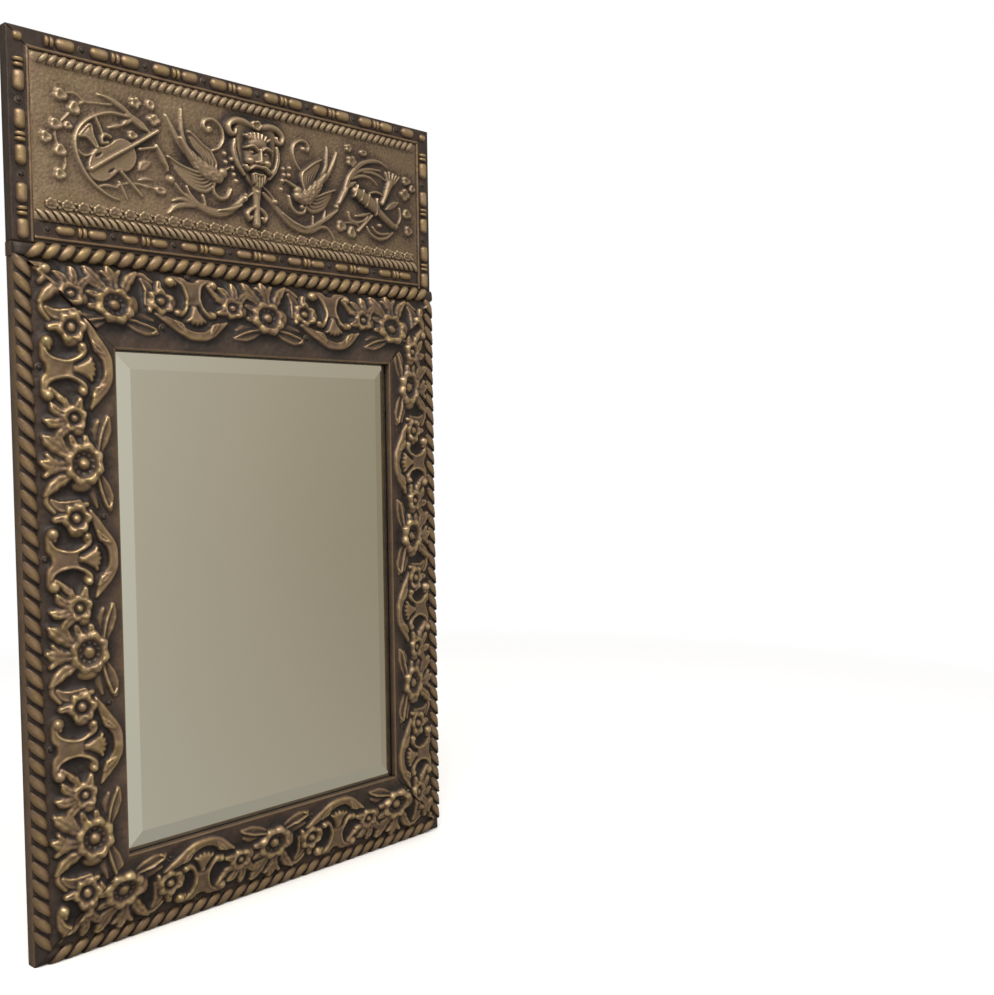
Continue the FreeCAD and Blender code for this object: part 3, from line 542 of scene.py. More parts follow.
def floralDie():
    die = blankPlate(0, floral["repeat"], 0, floral["across"], floral["dieStep"], wraps=True)
    bud, small, large, at = (94.6, 33.0), (36.2, 32.6), (0.8, 38.2), 62.6
    # leaves: ragged ones by the rope, turned-up ones by the glass
    for section, height, leaves in (
        (lobeTop, 6.2, (
            ([(-5, 29), (-10.6, 21.4), (-17, 13.6)], [3.4, 5.6, 5.0, 6.2, 5.0, 4.8, 1.8]),
            ([(-9, 25.4), (-16.4, 23.4)], [4.0, 1.8]),
            ([(1.8, 29), (1.8, 20), (-0.6, 12.2)], [3.6, 5.0, 4.6, 6.8, 5.6, 4.8, 2.2]),
            ([(2.4, 20), (8, 14)], [3.6, 1.8]),
            ([(1, 20), (-5.4, 15.4)], [3.4, 1.6]),
            ([(9, 28), (13.2, 20.4), (20.6, 13.2)], [3.0, 4.8, 4.2, 4.4, 3.2, 1.2]),
            ([(92.6, 28), (89.6, 22), (85, 18.8)], [3.2, 4.4, 3.8, 3.6, 1.4]),
            ([(96, 27.4), (97.6, 21), (95.8, 14.8)], [3.4, 4.6, 4.0, 4.0, 1.4]),
            ([(99.4, 29), (104, 24.4), (109, 20.4)], [3.0, 4.4, 3.8, 3.4, 1.2]),
            ([(75.6, 19.6), (81, 24.2), (87, 29)], [0.8, 2.8, 2.0]))),
        (curledTop, 4.4, (
            ([(-7, 48.8), (-14, 50.8), (-21, 53), (-29, 54.6)], [1.6, 3.6, 3.7, 1.4]),
            ([(8, 48), (14.5, 50.6), (22, 53), (30.6, 54.4)], [1.6, 3.6, 4.0, 1.6]))),
        (roundTop, 5.4, (
            ([(-8, 47.8), (-14, 48.6), (-21, 50.6), (-28.4, 53.6)], [0.7, 1.2, 1.1, 0.7]),
            ([(9, 47), (15, 48), (22.6, 50.2), (29.8, 53.2), (27, 55.8)], [0.7, 1.2, 1.3, 1.1, 0.7]))),
        (roundTop, 2.6, (
            ([(11, 44), (20, 43.6), (29, 46)], [1.6, 3.4, 1.4]), ([(-14, 46), (-21, 46), (-27, 48.4)], [1.4, 3.0, 1.2]))),
        (roundTop, 4.6, (([(18, 15.4), (25, 14.4), (31.5, 19)], [1.6, 2.2, 1.8]),)),
    ):
        for points, widths in leaves:
            stroke(die, points, widths, height, section)
    # strapwork: a waisted plate with scrolled corners, a fan and a ribbon
    plate = ((0, 16), (2.6, 15.6), (5.2, 13.4), (7.5, 12.6), (11, 12.6), (14.5, 12.4), (18, 13), (20.6, 15.4),
             (20.8, 18.8), (18.8, 21.2), (16, 21.2), (13.8, 19.6), (12.4, 17.6), (10.4, 17.6), (8.4, 19.6),
             (7, 22.4), (6.2, 25.6), (5.9, 28.5), (6.3, 31.5), (7.6, 34.6), (9.8, 37.2), (12, 36.2), (14.6, 35.8),
             (16.8, 37.4), (17.2, 40), (15.4, 42.2), (12.4, 42.8), (9.6, 41.6), (7, 38.8), (4.6, 35), (2.6, 33.6))
    fan = ((2.4, 32.4), (3, 36), (4.6, 39.4), (6.6, 42.4), (9, 44.6), (7.6, 46.6), (5.2, 46.2), (4, 48), (1.8, 47.4))
    slab(die, [(at + a, t) for a, t in plate] + [(at - a, t) for a, t in plate[:0:-1]], 4.8, 1.6)
    slab(die, [(at + a, t) for a, t in fan] + [(at, 48.8)] + [(at - a, t) for a, t in fan[::-1]], 6.0, 3.0)
    for side in (-1, 1):
        rim = ((12.2, 15.6), (8.4, 18), (6, 22.4), (4.8, 28.3), (5.5, 32.8), (8, 37.6), (11.5, 40.4), (15, 39.8))
        stroke(die, [(at + side * a, t) for a, t in rim], [1.3, 1.5, 1.6, 1.5, 1.7, 2.2, 2.6], 5.9)
        boss(die, at + side * 17, 17.4, 4.2, 4.2, 8.2)
        boss(die, at + side * 13.2, 18.4, 1.9, 1.9, 6.0)
        boss(die, at + side * 14.6, 39.4, 3.2, 3.2, 7.2)
        leaf = [(at + side * a, t) for a, t in ((17.6, 45.6), (13.6, 48.6), (10.2, 53.2))]
        stroke(die, leaf, [1.2, 3.4, 1.4], 6.6, leafTop)
    swag = ((31, 41.6), (38, 44.8), (43.5, 47.4), (48.5, 50.4), (55.4, 54.6), (62.6, 55.6), (69.8, 54.6),
            (76.7, 50.4), (81.7, 47.4), (88, 44))
    stroke(die, swag, [0.8, 2.6, 3.6, 4.0, 3.5, 3.2, 3.5, 4.0, 2.8, 0.9], 5.4, ribbonTop)
    # petals outside the flowers' rings: folded wings on one side, hoods on the other
    for points, widths in (([(-8, 33), (-16.4, 30.4)], [5.0, 2.4]), ([(-8, 40), (-16.2, 39.6)], [5.0, 2.4]),
                           ([(90, 29), (82.6, 27.4)], [4.6, 2.0]), ([(89, 35.4), (82.2, 37)], [4.6, 2.0]),
                           ([(28.4, 33), (27, 39.4)], [3.4, 2.0])):
        stroke(die, points, widths, 6.0, lobeTop)
    for hood in ((14.4, 37, 5.0, 7.6, 6.6, 6), (44.4, 33, 4.4, 6.2, 6.0, 8), (102.6, 35, 4.4, 5.2, 5.8, 0)):
        boss(die, *hood, 0.55)
    stroke(die, ((24.2, 17.8), (27.6, 22.4), (28, 28.4), (25, 35)), [1.4, 3.6, 3.8, 1.4], 6.4, curledTop)
    stroke(die, ((35.2, 27), (36.4, 19.4)), [3.8, 2.4], 6.4, leafTop)
    stroke(die, ((90.6, 26.6), (88.4, 31), (89, 37)), [1.4, 2.6, 1.2], 7.2)
    for flower, rs, rt, petals, rim, scallop in (
            (bud, 9.4, 8.8, 5, 7.2, 0.17), (small, 10.8, 10.2, 6, 7.6, 0.17), (large, 15.2, 13.4, 8, 8.4, 0.11)):
        petal = ((0.6, 0.84), (0.74, 1), (0.87, 0.94), (0.95, 0.8), (1, 0.55))
        bloom(die, *flower, rs, rt, petals, [(0, 4), (0.48, 5)] + [(share, level * rim) for share, level in petal],
              scallop, 1.3 * scallop, 140, 0.7)
    step = floral["dieStep"]
    die["h"] = np.maximum(die["h"], floral["swell"] * soften(die["h"], floral["swellMm"] / step, True))
    # cups of the flowers with their eyes and stamens, and dimples for the pins
    for flower, rs, rt, eye, top in ((bud, 5.2, 4.8, 3.4, 6.6), (small, 6.2, 5.8, 4.0, 7.2), (large, 9.4, 8.2, 5.0, 7.2)):
        sink(die, *flower, rs, rt, 3.0, flare=3.6)
        boss(die, *flower, eye, eye * 0.94, top)
    for angle in (k * math.tau / 10 for k in range(10)):
        boss(die, large[0] + 6.5 * math.cos(angle), large[1] + 5.8 * math.sin(angle), 1.5, 1.4, 5.2)
    for s, t in floral["pinAt"]:
        sink(die, s, t, 2.2, 2.2, 0.4)
    die["h"] = soften(die["h"], floral["soften"] / step, True)
    die["tone"] = toneOf(die, floral["tone"])
    return die


# Where s and u of a side are in the frame: u runs in from the outer edge, y is forward when negative
def onSide(side, s, u, y):
    w, h = carcass["halfW"], carcass["halfH"]
    x, z = {"top": (s, h - u), "bottom": (s, u - h), "left": (u - w, -s), "right": (w - u, -s)}[side]
    return grid(x, y, z)


def slopeY(u):
    return carcass["edgeY"] - u * math.tan(slope)


def floralStrip(side, die):
    upright, wrapped = side in ("left", "right"), side != "top"
    half = carcass["halfH"] if upright else carcass["halfW"]
    crest, edgeY, backY, sheet = (carcass[size] for size in ("stripW", "edgeY", "backY", "sheet"))
    crestY, tone = slopeY(crest), floral["backTone"]
    section = []                 # u, y and tone, round the sheet
    if wrapped:                  # outer wrap and the bed of the rope
        wrap = (0, backY), (0, floral["wrapY"]), (0, edgeY + 1.2), (0.25, edgeY + 0.2)
        section += [(*point, level) for point, level in zip(wrap, floral["wrapTone"])]
        for share in np.linspace(0, 1, 9):
            u = floral["ropeIn"] + share * floral["ropeW"]
            section.append((u, slopeY(u) - floral["ropeBed"] * math.sin(math.pi * share), floral["bedTone"]))
    first = len(section)
    start = floral["reliefFrom"] if wrapped else carcass["jointHalf"]
    section += [(u, slopeY(u), 0) for u in np.arange(start, floral["reliefTo"], floral["acrossStep"])]
    last = len(section)
    section += [(crest - back, crestY + down, level) for back, down, level in floral["crest"]]
    section.append((crest, crestY + carcass["returnDepth"], tone))
    front = len(section)
    section += [(crest - sheet, crestY + carcass["returnDepth"], tone), (crest - sheet, crestY + 2 * sheet, tone)]
    section += ([(sheet, edgeY + sheet, tone), (sheet, backY, tone)] if wrapped
                else [(start, slopeY(start) + sheet, tone)])
    u, y, tone = (column[:, None] for column in np.array(section).T)
    gap = carcass["seam"]
    low = -half + (np.maximum(u + gap, carcass["jointHalf"]) if upright else u + gap)
    high = half - u - gap
    share = np.linspace(0, 1, round(2 * half / floral["alongStep"]) + 1)[None, :]
    s = low + share * (high - low)
    rows = slice(first, last)
    across = (u[rows] + floral["lift"][side]) / math.cos(slope) + 0 * s[rows]
    along = s[rows] - floral["flowerAt"][side]
    seed = sorted(floral["flowerAt"]).index(side)
    vary = [weight * wander(s[rows], across, size, 20 + 10 * k + seed)
            for k, (size, weight) in enumerate(floral["swing"] + floral["ripple"])]
    h = np.zeros(s.shape)
    h[rows] = floral["depth"] * sample(die, die["h"], along, across) * (1 + vary[0] + vary[1])
    h[rows] += floral["uneven"] * (vary[2] + vary[3])
    h[rows] *= np.clip((floral["reliefTo"] - u[rows]) / 2.0, 0, 1)
    tone = tone + 0 * s
    # painted shade that differs by side, standing in for the light each strip catches
    tone[rows] = sample(die, die["tone"], along, across) - floral["paintedShadeBySide"][side]
    # a pressed form leans outwards with the slope, so the ends stay on the mitre
    lean = h * math.sin(slope)
    ends = 1 - np.clip(np.minimum(share, 1 - share) * 2 * half / 12.0, 0, 1)
    s = s + lean * ends * np.where(share > 0.5, 1, -1)
    rings = onSide(side, s, u - lean, y - h * math.cos(slope))
    name = "floral" + side.title()
    putPiece(name, skinMesh(name, rings, tone, side in ("top", "right"), front), embossedBrass, "embossed_brass",
             "floral_" + side)


die = floralDie()
for side in floral["flowerAt"]:
    floralStrip(side, die)
print("floral strips pressed")


# Geometry Nodes: pieces set out in a row or on points, each a little out of true
def startTree(name, *ownInputs):
    tree = bpy.data.node_groups.new(name, "GeometryNodeTree")
    for label, kind in (("Geometry", "Geometry"), ("Piece", "Object"), *ownInputs, ("Size Spread", "Float"),
                        ("Turn Spread", "Float"), ("Seed", "Int"), ("Finish", "Material")):
        tree.interface.new_socket(label, in_out="INPUT", socket_type="NodeSocket" + kind)
    tree.interface.new_socket("Geometry", in_out="OUTPUT", socket_type="NodeSocketGeometry")
    return tree, addNode(tree, "NodeGroupInput").outputs


def rowTree():
    tree, given = startTree("rowOfPieces", ("Start", "Vector"), ("Step", "Vector"), ("Count", "Int"), ("Turn", "Vector"))
    line = addNode(tree, "GeometryNodeMeshLine", {"mode": "OFFSET"},
                   {"Count": given["Count"], "Start Location": given["Start"], "Offset": given["Step"]})
    placeOnPoints(tree, given, line.outputs["Mesh"], given["Turn"])
    return tree


# Each point has its own turn attribute
def pinTree():
    tree, given = startTree("piecesOnPoints")
    turn = addNode(tree, "GeometryNodeInputNamedAttribute", {"data_type": "FLOAT_VECTOR", "Name": "turn"})
    placeOnPoints(tree, given, given["Geometry"], turn.outputs["Attribute"])
    return tree


def placeOnPoints(tree, given, points, turn):
    piece = addNode(tree, "GeometryNodeObjectInfo", {"transform_space": "ORIGINAL"}, {"Object": given["Piece"]})
    least = addNode(tree, "ShaderNodeMath", {"operation": "SUBTRACT", 0: 1.0}, {1: given["Size Spread"]})
    most = addNode(tree, "ShaderNodeMath", {"operation": "ADD", 0: 1.0}, {1: given["Size Spread"]})
    size = addNode(tree, "FunctionNodeRandomValue", {"data_type": "FLOAT"},
                   {2: least.outputs[0], 3: most.outputs[0], "Seed": given["Seed"]})
    other = addNode(tree, "ShaderNodeMath", {"operation": "MULTIPLY", 0: -1.0}, {1: given["Turn Spread"]})
    tilt = addNode(tree, "FunctionNodeRandomValue", {"data_type": "FLOAT_VECTOR"},
                   {0: other.outputs[0], 1: given["Turn Spread"], "Seed": given["Seed"]})
    turned = addNode(tree, "ShaderNodeVectorMath", {"operation": "ADD"}, {0: turn, 1: tilt.outputs[0]})
    rotation = addNode(tree, "FunctionNodeEulerToRotation", links={0: turned.outputs[0]})
    placed = addNode(tree, "GeometryNodeInstanceOnPoints", links={
        "Points": points, "Instance": piece.outputs["Geometry"],
        "Rotation": rotation.outputs[0], "Scale": size.outputs[1]})
    real = addNode(tree, "GeometryNodeRealizeInstances", links={"Geometry": placed.outputs["Instances"]})
    finished = addNode(tree, "GeometryNodeSetMaterial", links={"Geometry": real.outputs[0], "Material": given["Finish"]})
    addNode(tree, "NodeGroupOutput", links={"Geometry": finished.outputs[0]})


rowOfPieces = rowTree()
piecesOnPoints = pinTree()


# Runs a tree on a base mesh and gives back the plain mesh
def grow(name, tree, values, base=None):
    carrier = bpy.data.objects.new(name, base or bpy.data.meshes.new(name))
    bpy.context.scene.collection.objects.link(carrier)
    modifier = carrier.modifiers.new("grow", "NODES")
    modifier.node_group = tree
    for item in tree.interface.items_tree:
        if item.in_out == "INPUT" and item.name in values:
            modifier[item.identifier] = values[item.name]
    graph = bpy.context.evaluated_depsgraph_get()
    mesh = bpy.data.meshes.new_from_object(carrier.evaluated_get(graph), preserve_all_data_layers=True, depsgraph=graph)
    bpy.data.objects.remove(carrier)
    mesh.name = name
    return mesh


def joinMeshes(name, meshes):
    first = bpy.data.objects.new(name, meshes[0])
    others = [bpy.data.objects.new(name + "Part", mesh) for mesh in meshes[1:]]
    for obj in [first] + others:
        bpy.context.scene.collection.objects.link(obj)
    if others:
        with bpy.context.temp_override(active_object=first, selected_editable_objects=[first] + others):
            bpy.ops.object.join()
    mesh = first.data
    bpy.data.objects.remove(first)
    mesh.name = name
    return mesh


# A piece to set out many times, taken away once all rows are laid
templates = []


def template(mesh):
    templates.append(bpy.data.objects.new(mesh.name, mesh))
    bpy.context.scene.collection.objects.link(templates[-1])
    return templates[-1]


def layRow(name, piece, start, step, count, turn, seed, finish, sizeSpread=0.03, turnSpread=0.035):
    return grow(name, rowOfPieces, {
        "Piece": piece, "Start": [v * mm for v in start], "Step": [v * mm for v in step], "Count": count, "Turn": turn,
        "Size Spread": sizeSpread, "Turn Spread": turnSpread, "Seed": seed, "Finish": finish})


# One strand of a twisted rope, wound round the rope's half-round bed. X is along the rope, -Y faces out.
def strandMesh(name, rope):
    turn = np.linspace(-1.42, 1.42, rope["stations"])[None, :]
    about = np.linspace(0, math.tau, rope["sides"], endpoint=False)[:, None]
    radius = rope["w"] / 2
    centre = grid(rope["run"] * turn / math.pi, -rope["bed"] - rope["rise"] * np.cos(turn) + rope["rise"] * 0.35,
                  rope["lean"] * radius * np.sin(turn))
    tangent = np.gradient(centre, axis=1)
    tangent /= np.linalg.norm(tangent, axis=-1, keepdims=True)
    outward = grid(0 * turn, -np.cos(turn), rope["lean"] * np.sin(turn))
    across = np.cross(tangent, outward)
    taper = np.cos(turn * 0.98) ** 0.45
    rings = (centre + across * (rope["strand"] * taper * np.cos(about))[..., None]
             + outward * (rope["deep"] * taper * np.sin(about))[..., None])
    c, s = math.cos(rope["tilt"]), math.sin(rope["tilt"])
    rings = np.stack([rings[..., 0], rings[..., 1] * c + rings[..., 2] * s, rings[..., 2] * c - rings[..., 1] * s], -1)
    # painted highlight and shade: the outward crown of a strand is painted lighter, as rubbing and as a painted
    # highlight; its sides and tucked-in ends are painted dimmer, as painted shade where the strands meet
    tone = rope["base"] + rope["crown"] * np.clip(np.sin(about) * 1.1, 0, 1) ** 1.3 * np.cos(turn) ** 0.5
    return skinMesh(name, rings, tone, rope["lean"] < 0, rope["sides"] + 1)


rope = {
    "pitch": 11.4, "run": 16.5, "w": 9.2, "bed": 0.6, "rise": 2.1, "strand": 3.65, "deep": 1.9, "lean": 1, "tilt": slope,
    "stations": 9, "sides": 8, "base": 0.16, "crown": 0.54,
}
jointRope = dict(rope, pitch=10.5, run=13.2, w=9.0, bed=0.8, rise=3.2, strand=3.6, deep=2.3, tilt=0.0,
                 base=0.30, crown=0.58)
friezeRopeHigh = dict(rope, pitch=6.1, run=8.8, w=6.4, bed=0.3, rise=1.9, strand=2.2, deep=1.5, tilt=0.0,
                      base=0.18, crown=0.70)
friezeRopeLow = dict(friezeRopeHigh, pitch=5.5, strand=2.0, lean=-1)
sideStrand = template(strandMesh("sideStrand", rope))
halfW, halfH, topZ = carcass["halfW"], carcass["halfH"], carcass["topZ"]
uRope = floral["ropeIn"] + floral["ropeW"] / 2
yRope = slopeY(uRope)
sideCount = int((2 * halfH - 16) / rope["pitch"])
lowCount = int((2 * halfW - 22) / rope["pitch"]) + 1
pitch = rope["pitch"]
for name, start, step, count, turn, seed in (
        ("ropeLeft", (uRope - halfW, yRope, halfH - 11), (0, 0, -pitch), sideCount, -math.pi / 2, 3),
        ("ropeRight", (halfW - uRope, yRope, halfH - 11), (0, 0, -pitch), sideCount, math.pi / 2, 4),
        ("ropeBottom", (-pitch * (lowCount - 1) / 2, yRope, uRope - halfH), (pitch, 0, 0), lowCount, math.pi, 5)):
    mesh = layRow(name, sideStrand, start, step, count, (0, turn, 0), seed, embossedBrass)
    putPiece(name, mesh, embossedBrass, "embossed_brass")

# Joint rope: a half-round bed across the joint, with its strands
jointBed = {"w": 9.0, "rise": 2.4, "rows": 13, "backHalf": 4.2, "foldHalf": 4.5, "foldY": -6.2, "fold": 0.55,
            "tone": 0.12, "foldTone": 0.3, "strandY": carcass["edgeY"] - 1.0}
arc = np.linspace(-1, 1, jointBed["rows"])[:, None]
stations = np.linspace(-halfW, halfW, 60)[None, :]
zBed = halfH - arc * jointBed["w"] / 2
yBed = slopeY(np.maximum(halfH - zBed, 0)) - jointBed["rise"] * np.sqrt(np.clip(1 - arc * arc, 0, None))
yBehind = np.array([slopeY(jointBed["w"] / 2), carcass["edgeY"]])[:, None] + carcass["sheet"]
zBehind = np.array([halfH - jointBed["backHalf"], halfH + jointBed["backHalf"]])[:, None]
rings = np.concatenate([grid(stations, yBed, zBed), grid(stations, yBehind, zBehind)])
parts = [skinMesh("jointRopeBed", rings, np.full(rings.shape[:2], jointBed["tone"]), True, jointBed["rows"])]
jointStrand = template(strandMesh("jointStrand", jointRope))
count = int((2 * halfW - 10) / jointRope["pitch"])
start = (-jointRope["pitch"] * (count - 1) / 2, jointBed["strandY"], halfH)
parts.append(layRow("jointStrands", jointStrand, start, (jointRope["pitch"], 0, 0), count, (0, 0, 0), 6, embossedBrass))
# the bed's ends are folded back over the sides of the wood
for side in (-1, 1):
    half, foldY, edgeY = jointBed["foldHalf"], jointBed["foldY"], carcass["edgeY"]
    corners = ((foldY, -half), (edgeY, -half), (edgeY, half), (foldY, half))
    face = np.array([(side * halfW, y, halfH + z) for y, z in corners])
    fold = np.stack([face, face + (side * jointBed["fold"], 0, 0)], 1)
    parts.append(skinMesh("jointFold", fold, np.full((4, 2), jointBed["foldTone"]), side > 0, 0))
for mesh in (parts[0], *parts[2:]):
    mesh.materials.append(embossedBrass)
putPiece("jointRope", joinMeshes("jointRope", parts), embossedBrass, "embossed_brass", "joint_rope")
print("ropes laid")


# Beaded strips round the frieze: a flat sheet with a ridge, wrapped over the outer edge, and bead-and-reel on it
beaded = {
    "unit": 46.1, "beadAt": 11.9, "reelAt": 1.7,
    "beadL": 14.6, "beadW": 8.4, "lowBeadW": 6.9, "reelL": 3.0, "reelW": 8.0,
    "cornerR": 3.2, "ridgeW": 2.4, "ridgeH": 1.3, "alongStep": 1.5, "uneven": 0.14,
    "topW": 13.0, "topBead": 5.6, "topRidge": 11.6, "topPin": 7.0,
    "sideW": 14.5, "sideBead": 7.2, "sideRidge": 13.2, "sidePin": 46.0,
    "lowZ": halfH + carcass["jointHalf"], "lowW": 14.5, "lowBead": 9.8, "lowRidge": 3.7, "lowPin": -20.0,
    "sunk": 0.9,                     # beads sit this deep in the sheet
    "pinRoom": 3.8,
    "cornerHigh": 1.0, "cornerLow": 3.0,     # corner bosses sit this far below the bead lines
    "beadTone": (0.08, 0.78),        # hollow, and what the crown adds
    "stripTone": (0.13, 0.42, 0.4),  # flat, and what the ridge and the unevenness add
}


# Lays out a row of beads between two ends: places of pins, beads and reels
def beadPlaces(first, last, phase, margin):
    pins, beads, reels = [], [], []
    unit = beaded["unit"]
    for k in range(math.floor((first - phase) / unit), math.ceil((last - phase) / unit) + 1):
        at = phase + k * unit
        pins.append(at)
        beads += [at + beaded["beadAt"], at + unit - beaded["beadAt"]]
        reels += [at + unit / 2 - beaded["reelAt"], at + unit / 2 + beaded["reelAt"]]
    return ([p for p in pins if first + margin < p < last - margin],
            [b for b in beads if first + beaded["beadL"] / 2 < b < last - beaded["beadL"] / 2],
            [r for r in reels if first + 1.1 < r < last - 1.1])


# A turned solid: path is (along, radius), lying along X
def turnedMesh(name, path, sides, tone):
    along, radius, angle = turning(path, sides)
    rings = grid(along, radius * np.cos(angle), radius * np.sin(angle))
    return skinMesh(name, rings, tone(radius, angle), True, sides + 1)


def pointsMesh(name, places, turns):
    mesh = bpy.data.meshes.new(name)
    mesh.from_pydata([[v * mm for v in p] for p in places], [], [])
    mesh.attributes.new("turn", "FLOAT_VECTOR", "POINT").data.foreach_set("vector", np.array(turns, np.float32).ravel())
    return mesh


def scatter(name, piece, places, turns, seed, finish, sizeSpread=0.03, turnSpread=0.03):
    return grow(name, piecesOnPoints, {"Piece": piece, "Size Spread": sizeSpread, "Turn Spread": turnSpread, "Seed": seed,
                                       "Finish": finish}, pointsMesh(name + "Points", places, turns))


# Painted highlight and shade on beads, reels, dots and corner bosses: the outward crown is painted lighter, as rubbing
# and as a painted highlight, and the ends and the side toward the sheet dimmer, as painted shade
def beadTone(radius, angle):
    hollow, crown = beaded["beadTone"]
    return hollow + crown * np.clip(-np.cos(angle), 0, 1) ** 1.2 * np.clip(radius / radius.max(), 0, 1) ** 2


def roundedPath(length, width):
    x = np.linspace(-1, 1, 9)
    return [(length / 2 * a, max(0.05, width / 2 * (1 - abs(a) ** 5.5) ** 0.5)) for a in x]


bead = template(turnedMesh("bead", roundedPath(beaded["beadL"], beaded["beadW"]), 10, beadTone))
slimBead = template(turnedMesh("slimBead", roundedPath(beaded["beadL"], beaded["lowBeadW"]), 10, beadTone))
reel = template(turnedMesh("reel", roundedPath(beaded["reelL"], beaded["reelW"]), 10, beadTone))


# Section across a strip, from its outer edge in: wrap, flat, ridge, then the back
def stripSection(w, ridge, wrapped):
    flat = carcass["flatY"]
    rows = [(0.0, carcass["backY"]), (0.0, flat + 1.0), (0.1, flat + 0.35), (0.4, flat)] if wrapped else [(0.0, flat)]
    rows += [(u, flat) for u in np.arange(1.2, ridge - 1.3, 1.1)]
    rows += [(ridge + beaded["ridgeW"] / 2 * a, flat - beaded["ridgeH"] * math.sqrt(1 - a * a))
             for a in (-1, -0.85, -0.5, 0, 0.5, 0.85, 1)]
    rows += [(u, flat) for u in np.arange(ridge + 1.9, w - 0.3, 1.1)] + [(w, flat)]
    front = len(rows)
    sheet = carcass["sheet"]
    rows.append((w, flat + sheet))
    rows += [(sheet, flat + sheet), (sheet, carcass["backY"])] if wrapped else [(0.0, flat + sheet)]
    return np.array(rows), front


def beadedStrip(name, w, ridge, wrapped, place, low, high, flip, seed, replaced, pieces):
    section, front = stripSection(w, ridge, wrapped)
    u, y = section[:, :1], section[:, 1:]
    s0, s1 = low(u), high(u)
    columns = round(float(np.max(s1 - s0)) / beaded["alongStep"]) + 1
    s = s0 + np.linspace(0, 1, columns)[None, :] * (s1 - s0)
    flatRows = (np.arange(len(section)) < front)[:, None] & (u > 0.5)
    rough = beaded["uneven"] * (wander(s, u + 0 * s, 7, seed) + 0.8 * wander(s, u + 0 * s, 2.9, seed + 1))
    raised = np.clip((carcass["flatY"] - y) / beaded["ridgeH"], 0, 1)
    flat, ridgeAdds, roughAdds = beaded["stripTone"]
    tone = flat + ridgeAdds * raised + roughAdds * np.where(flatRows, rough, 0)
    worked = y - np.where(flatRows, np.clip(rough, -0.1, 1), 0)
    mesh = skinMesh(name, place(s, u, worked), tone, flip, front)
    mesh.materials.append(embossedBrass)
    putPiece(name, joinMeshes(name, [mesh] + pieces), embossedBrass, "embossed_brass", replaced)


yBead = carcass["flatY"] + beaded["sunk"]
reach = halfW - beaded["sideW"]
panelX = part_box("frieze_panel")[1].x / mm
lowZ = beaded["lowZ"]
down = topZ - lowZ
room = beaded["pinRoom"]
rows = {        # places along the row, a place in the frame, turn
    "top": (beadPlaces(-reach, reach, beaded["topPin"], room),
            lambda p: (p, yBead, topZ - beaded["topBead"]), (0, 0, 0)),
    "low": (beadPlaces(-panelX, panelX, beaded["lowPin"], room),
            lambda p: (p, yBead, lowZ + beaded["lowBead"]), (0, 0, 0)),
}
sides = {"left": -1, "right": 1}
for side, sx in sides.items():
    pins, beads, reels = beadPlaces(beaded["topW"], down, beaded["sidePin"], 0)
    pins = [p for p in pins if p < down - beaded["topW"]]
    rows[side] = ((pins, beads, reels), lambda p, sx=sx: (sx * (halfW - beaded["sideBead"]), yBead, topZ - p),
                  (0, math.pi / 2, 0))
friezePinPlaces, grown = [], {}
for k, (side, ((pins, beads, reels), at, turn)) in enumerate(rows.items()):
    friezePinPlaces += [(at(p)[0], carcass["flatY"], at(p)[2]) for p in pins]
    shapes = (("Beads", slimBead if side == "low" else bead, beads), ("Reels", reel, reels))
    grown[side] = [scatter(side + kind, shape, [at(p) for p in where], [turn] * len(where), 60 + 2 * k + n, embossedBrass)
                   for n, (kind, shape, where) in enumerate(shapes)]
corner = template(turnedMesh("cornerBoss", roundedPath(2 * beaded["cornerR"], 2 * beaded["cornerR"]), 10, beadTone))
for side, sx in sides.items():
    x = sx * (halfW - beaded["sideBead"])
    places = [(x, yBead, topZ - beaded["topBead"] - beaded["cornerHigh"]),
              (x, yBead, lowZ + beaded["lowBead"] - beaded["cornerLow"])]
    grown[side].append(scatter(side + "Bosses", corner, places, [(0, 0, 0)] * 2, 68 + sx, embossedBrass))

gap = carcass["seam"]
aspect = beaded["sideW"] / beaded["topW"]
beadedStrip("beadStripTop", beaded["topW"], beaded["topRidge"], True,
            lambda s, u, y: grid(s, y, topZ - u),
            lambda u: -halfW + gap + u * aspect, lambda u: halfW - gap - u * aspect,
            True, 71, "bead_strip_top", grown["top"])
beadedStrip("beadStripBottom", beaded["lowW"], beaded["lowRidge"], False,
            lambda s, u, y: grid(s, y, lowZ + u),
            lambda u: -panelX + 0 * u, lambda u: panelX + 0 * u, False, 73, "bead_strip_bottom", grown["low"])
for side, sx in sides.items():
    beadedStrip("beadStrip" + side.title(), beaded["sideW"], beaded["sideRidge"], True,
                lambda s, u, y, sx=sx: grid(sx * (halfW - u), y, s),
                lambda u: lowZ + 0 * u, lambda u: topZ - gap - u / aspect,
                sx < 0, 75 + sx, "bead_strip_" + side, grown[side])
print("beaded strips made")


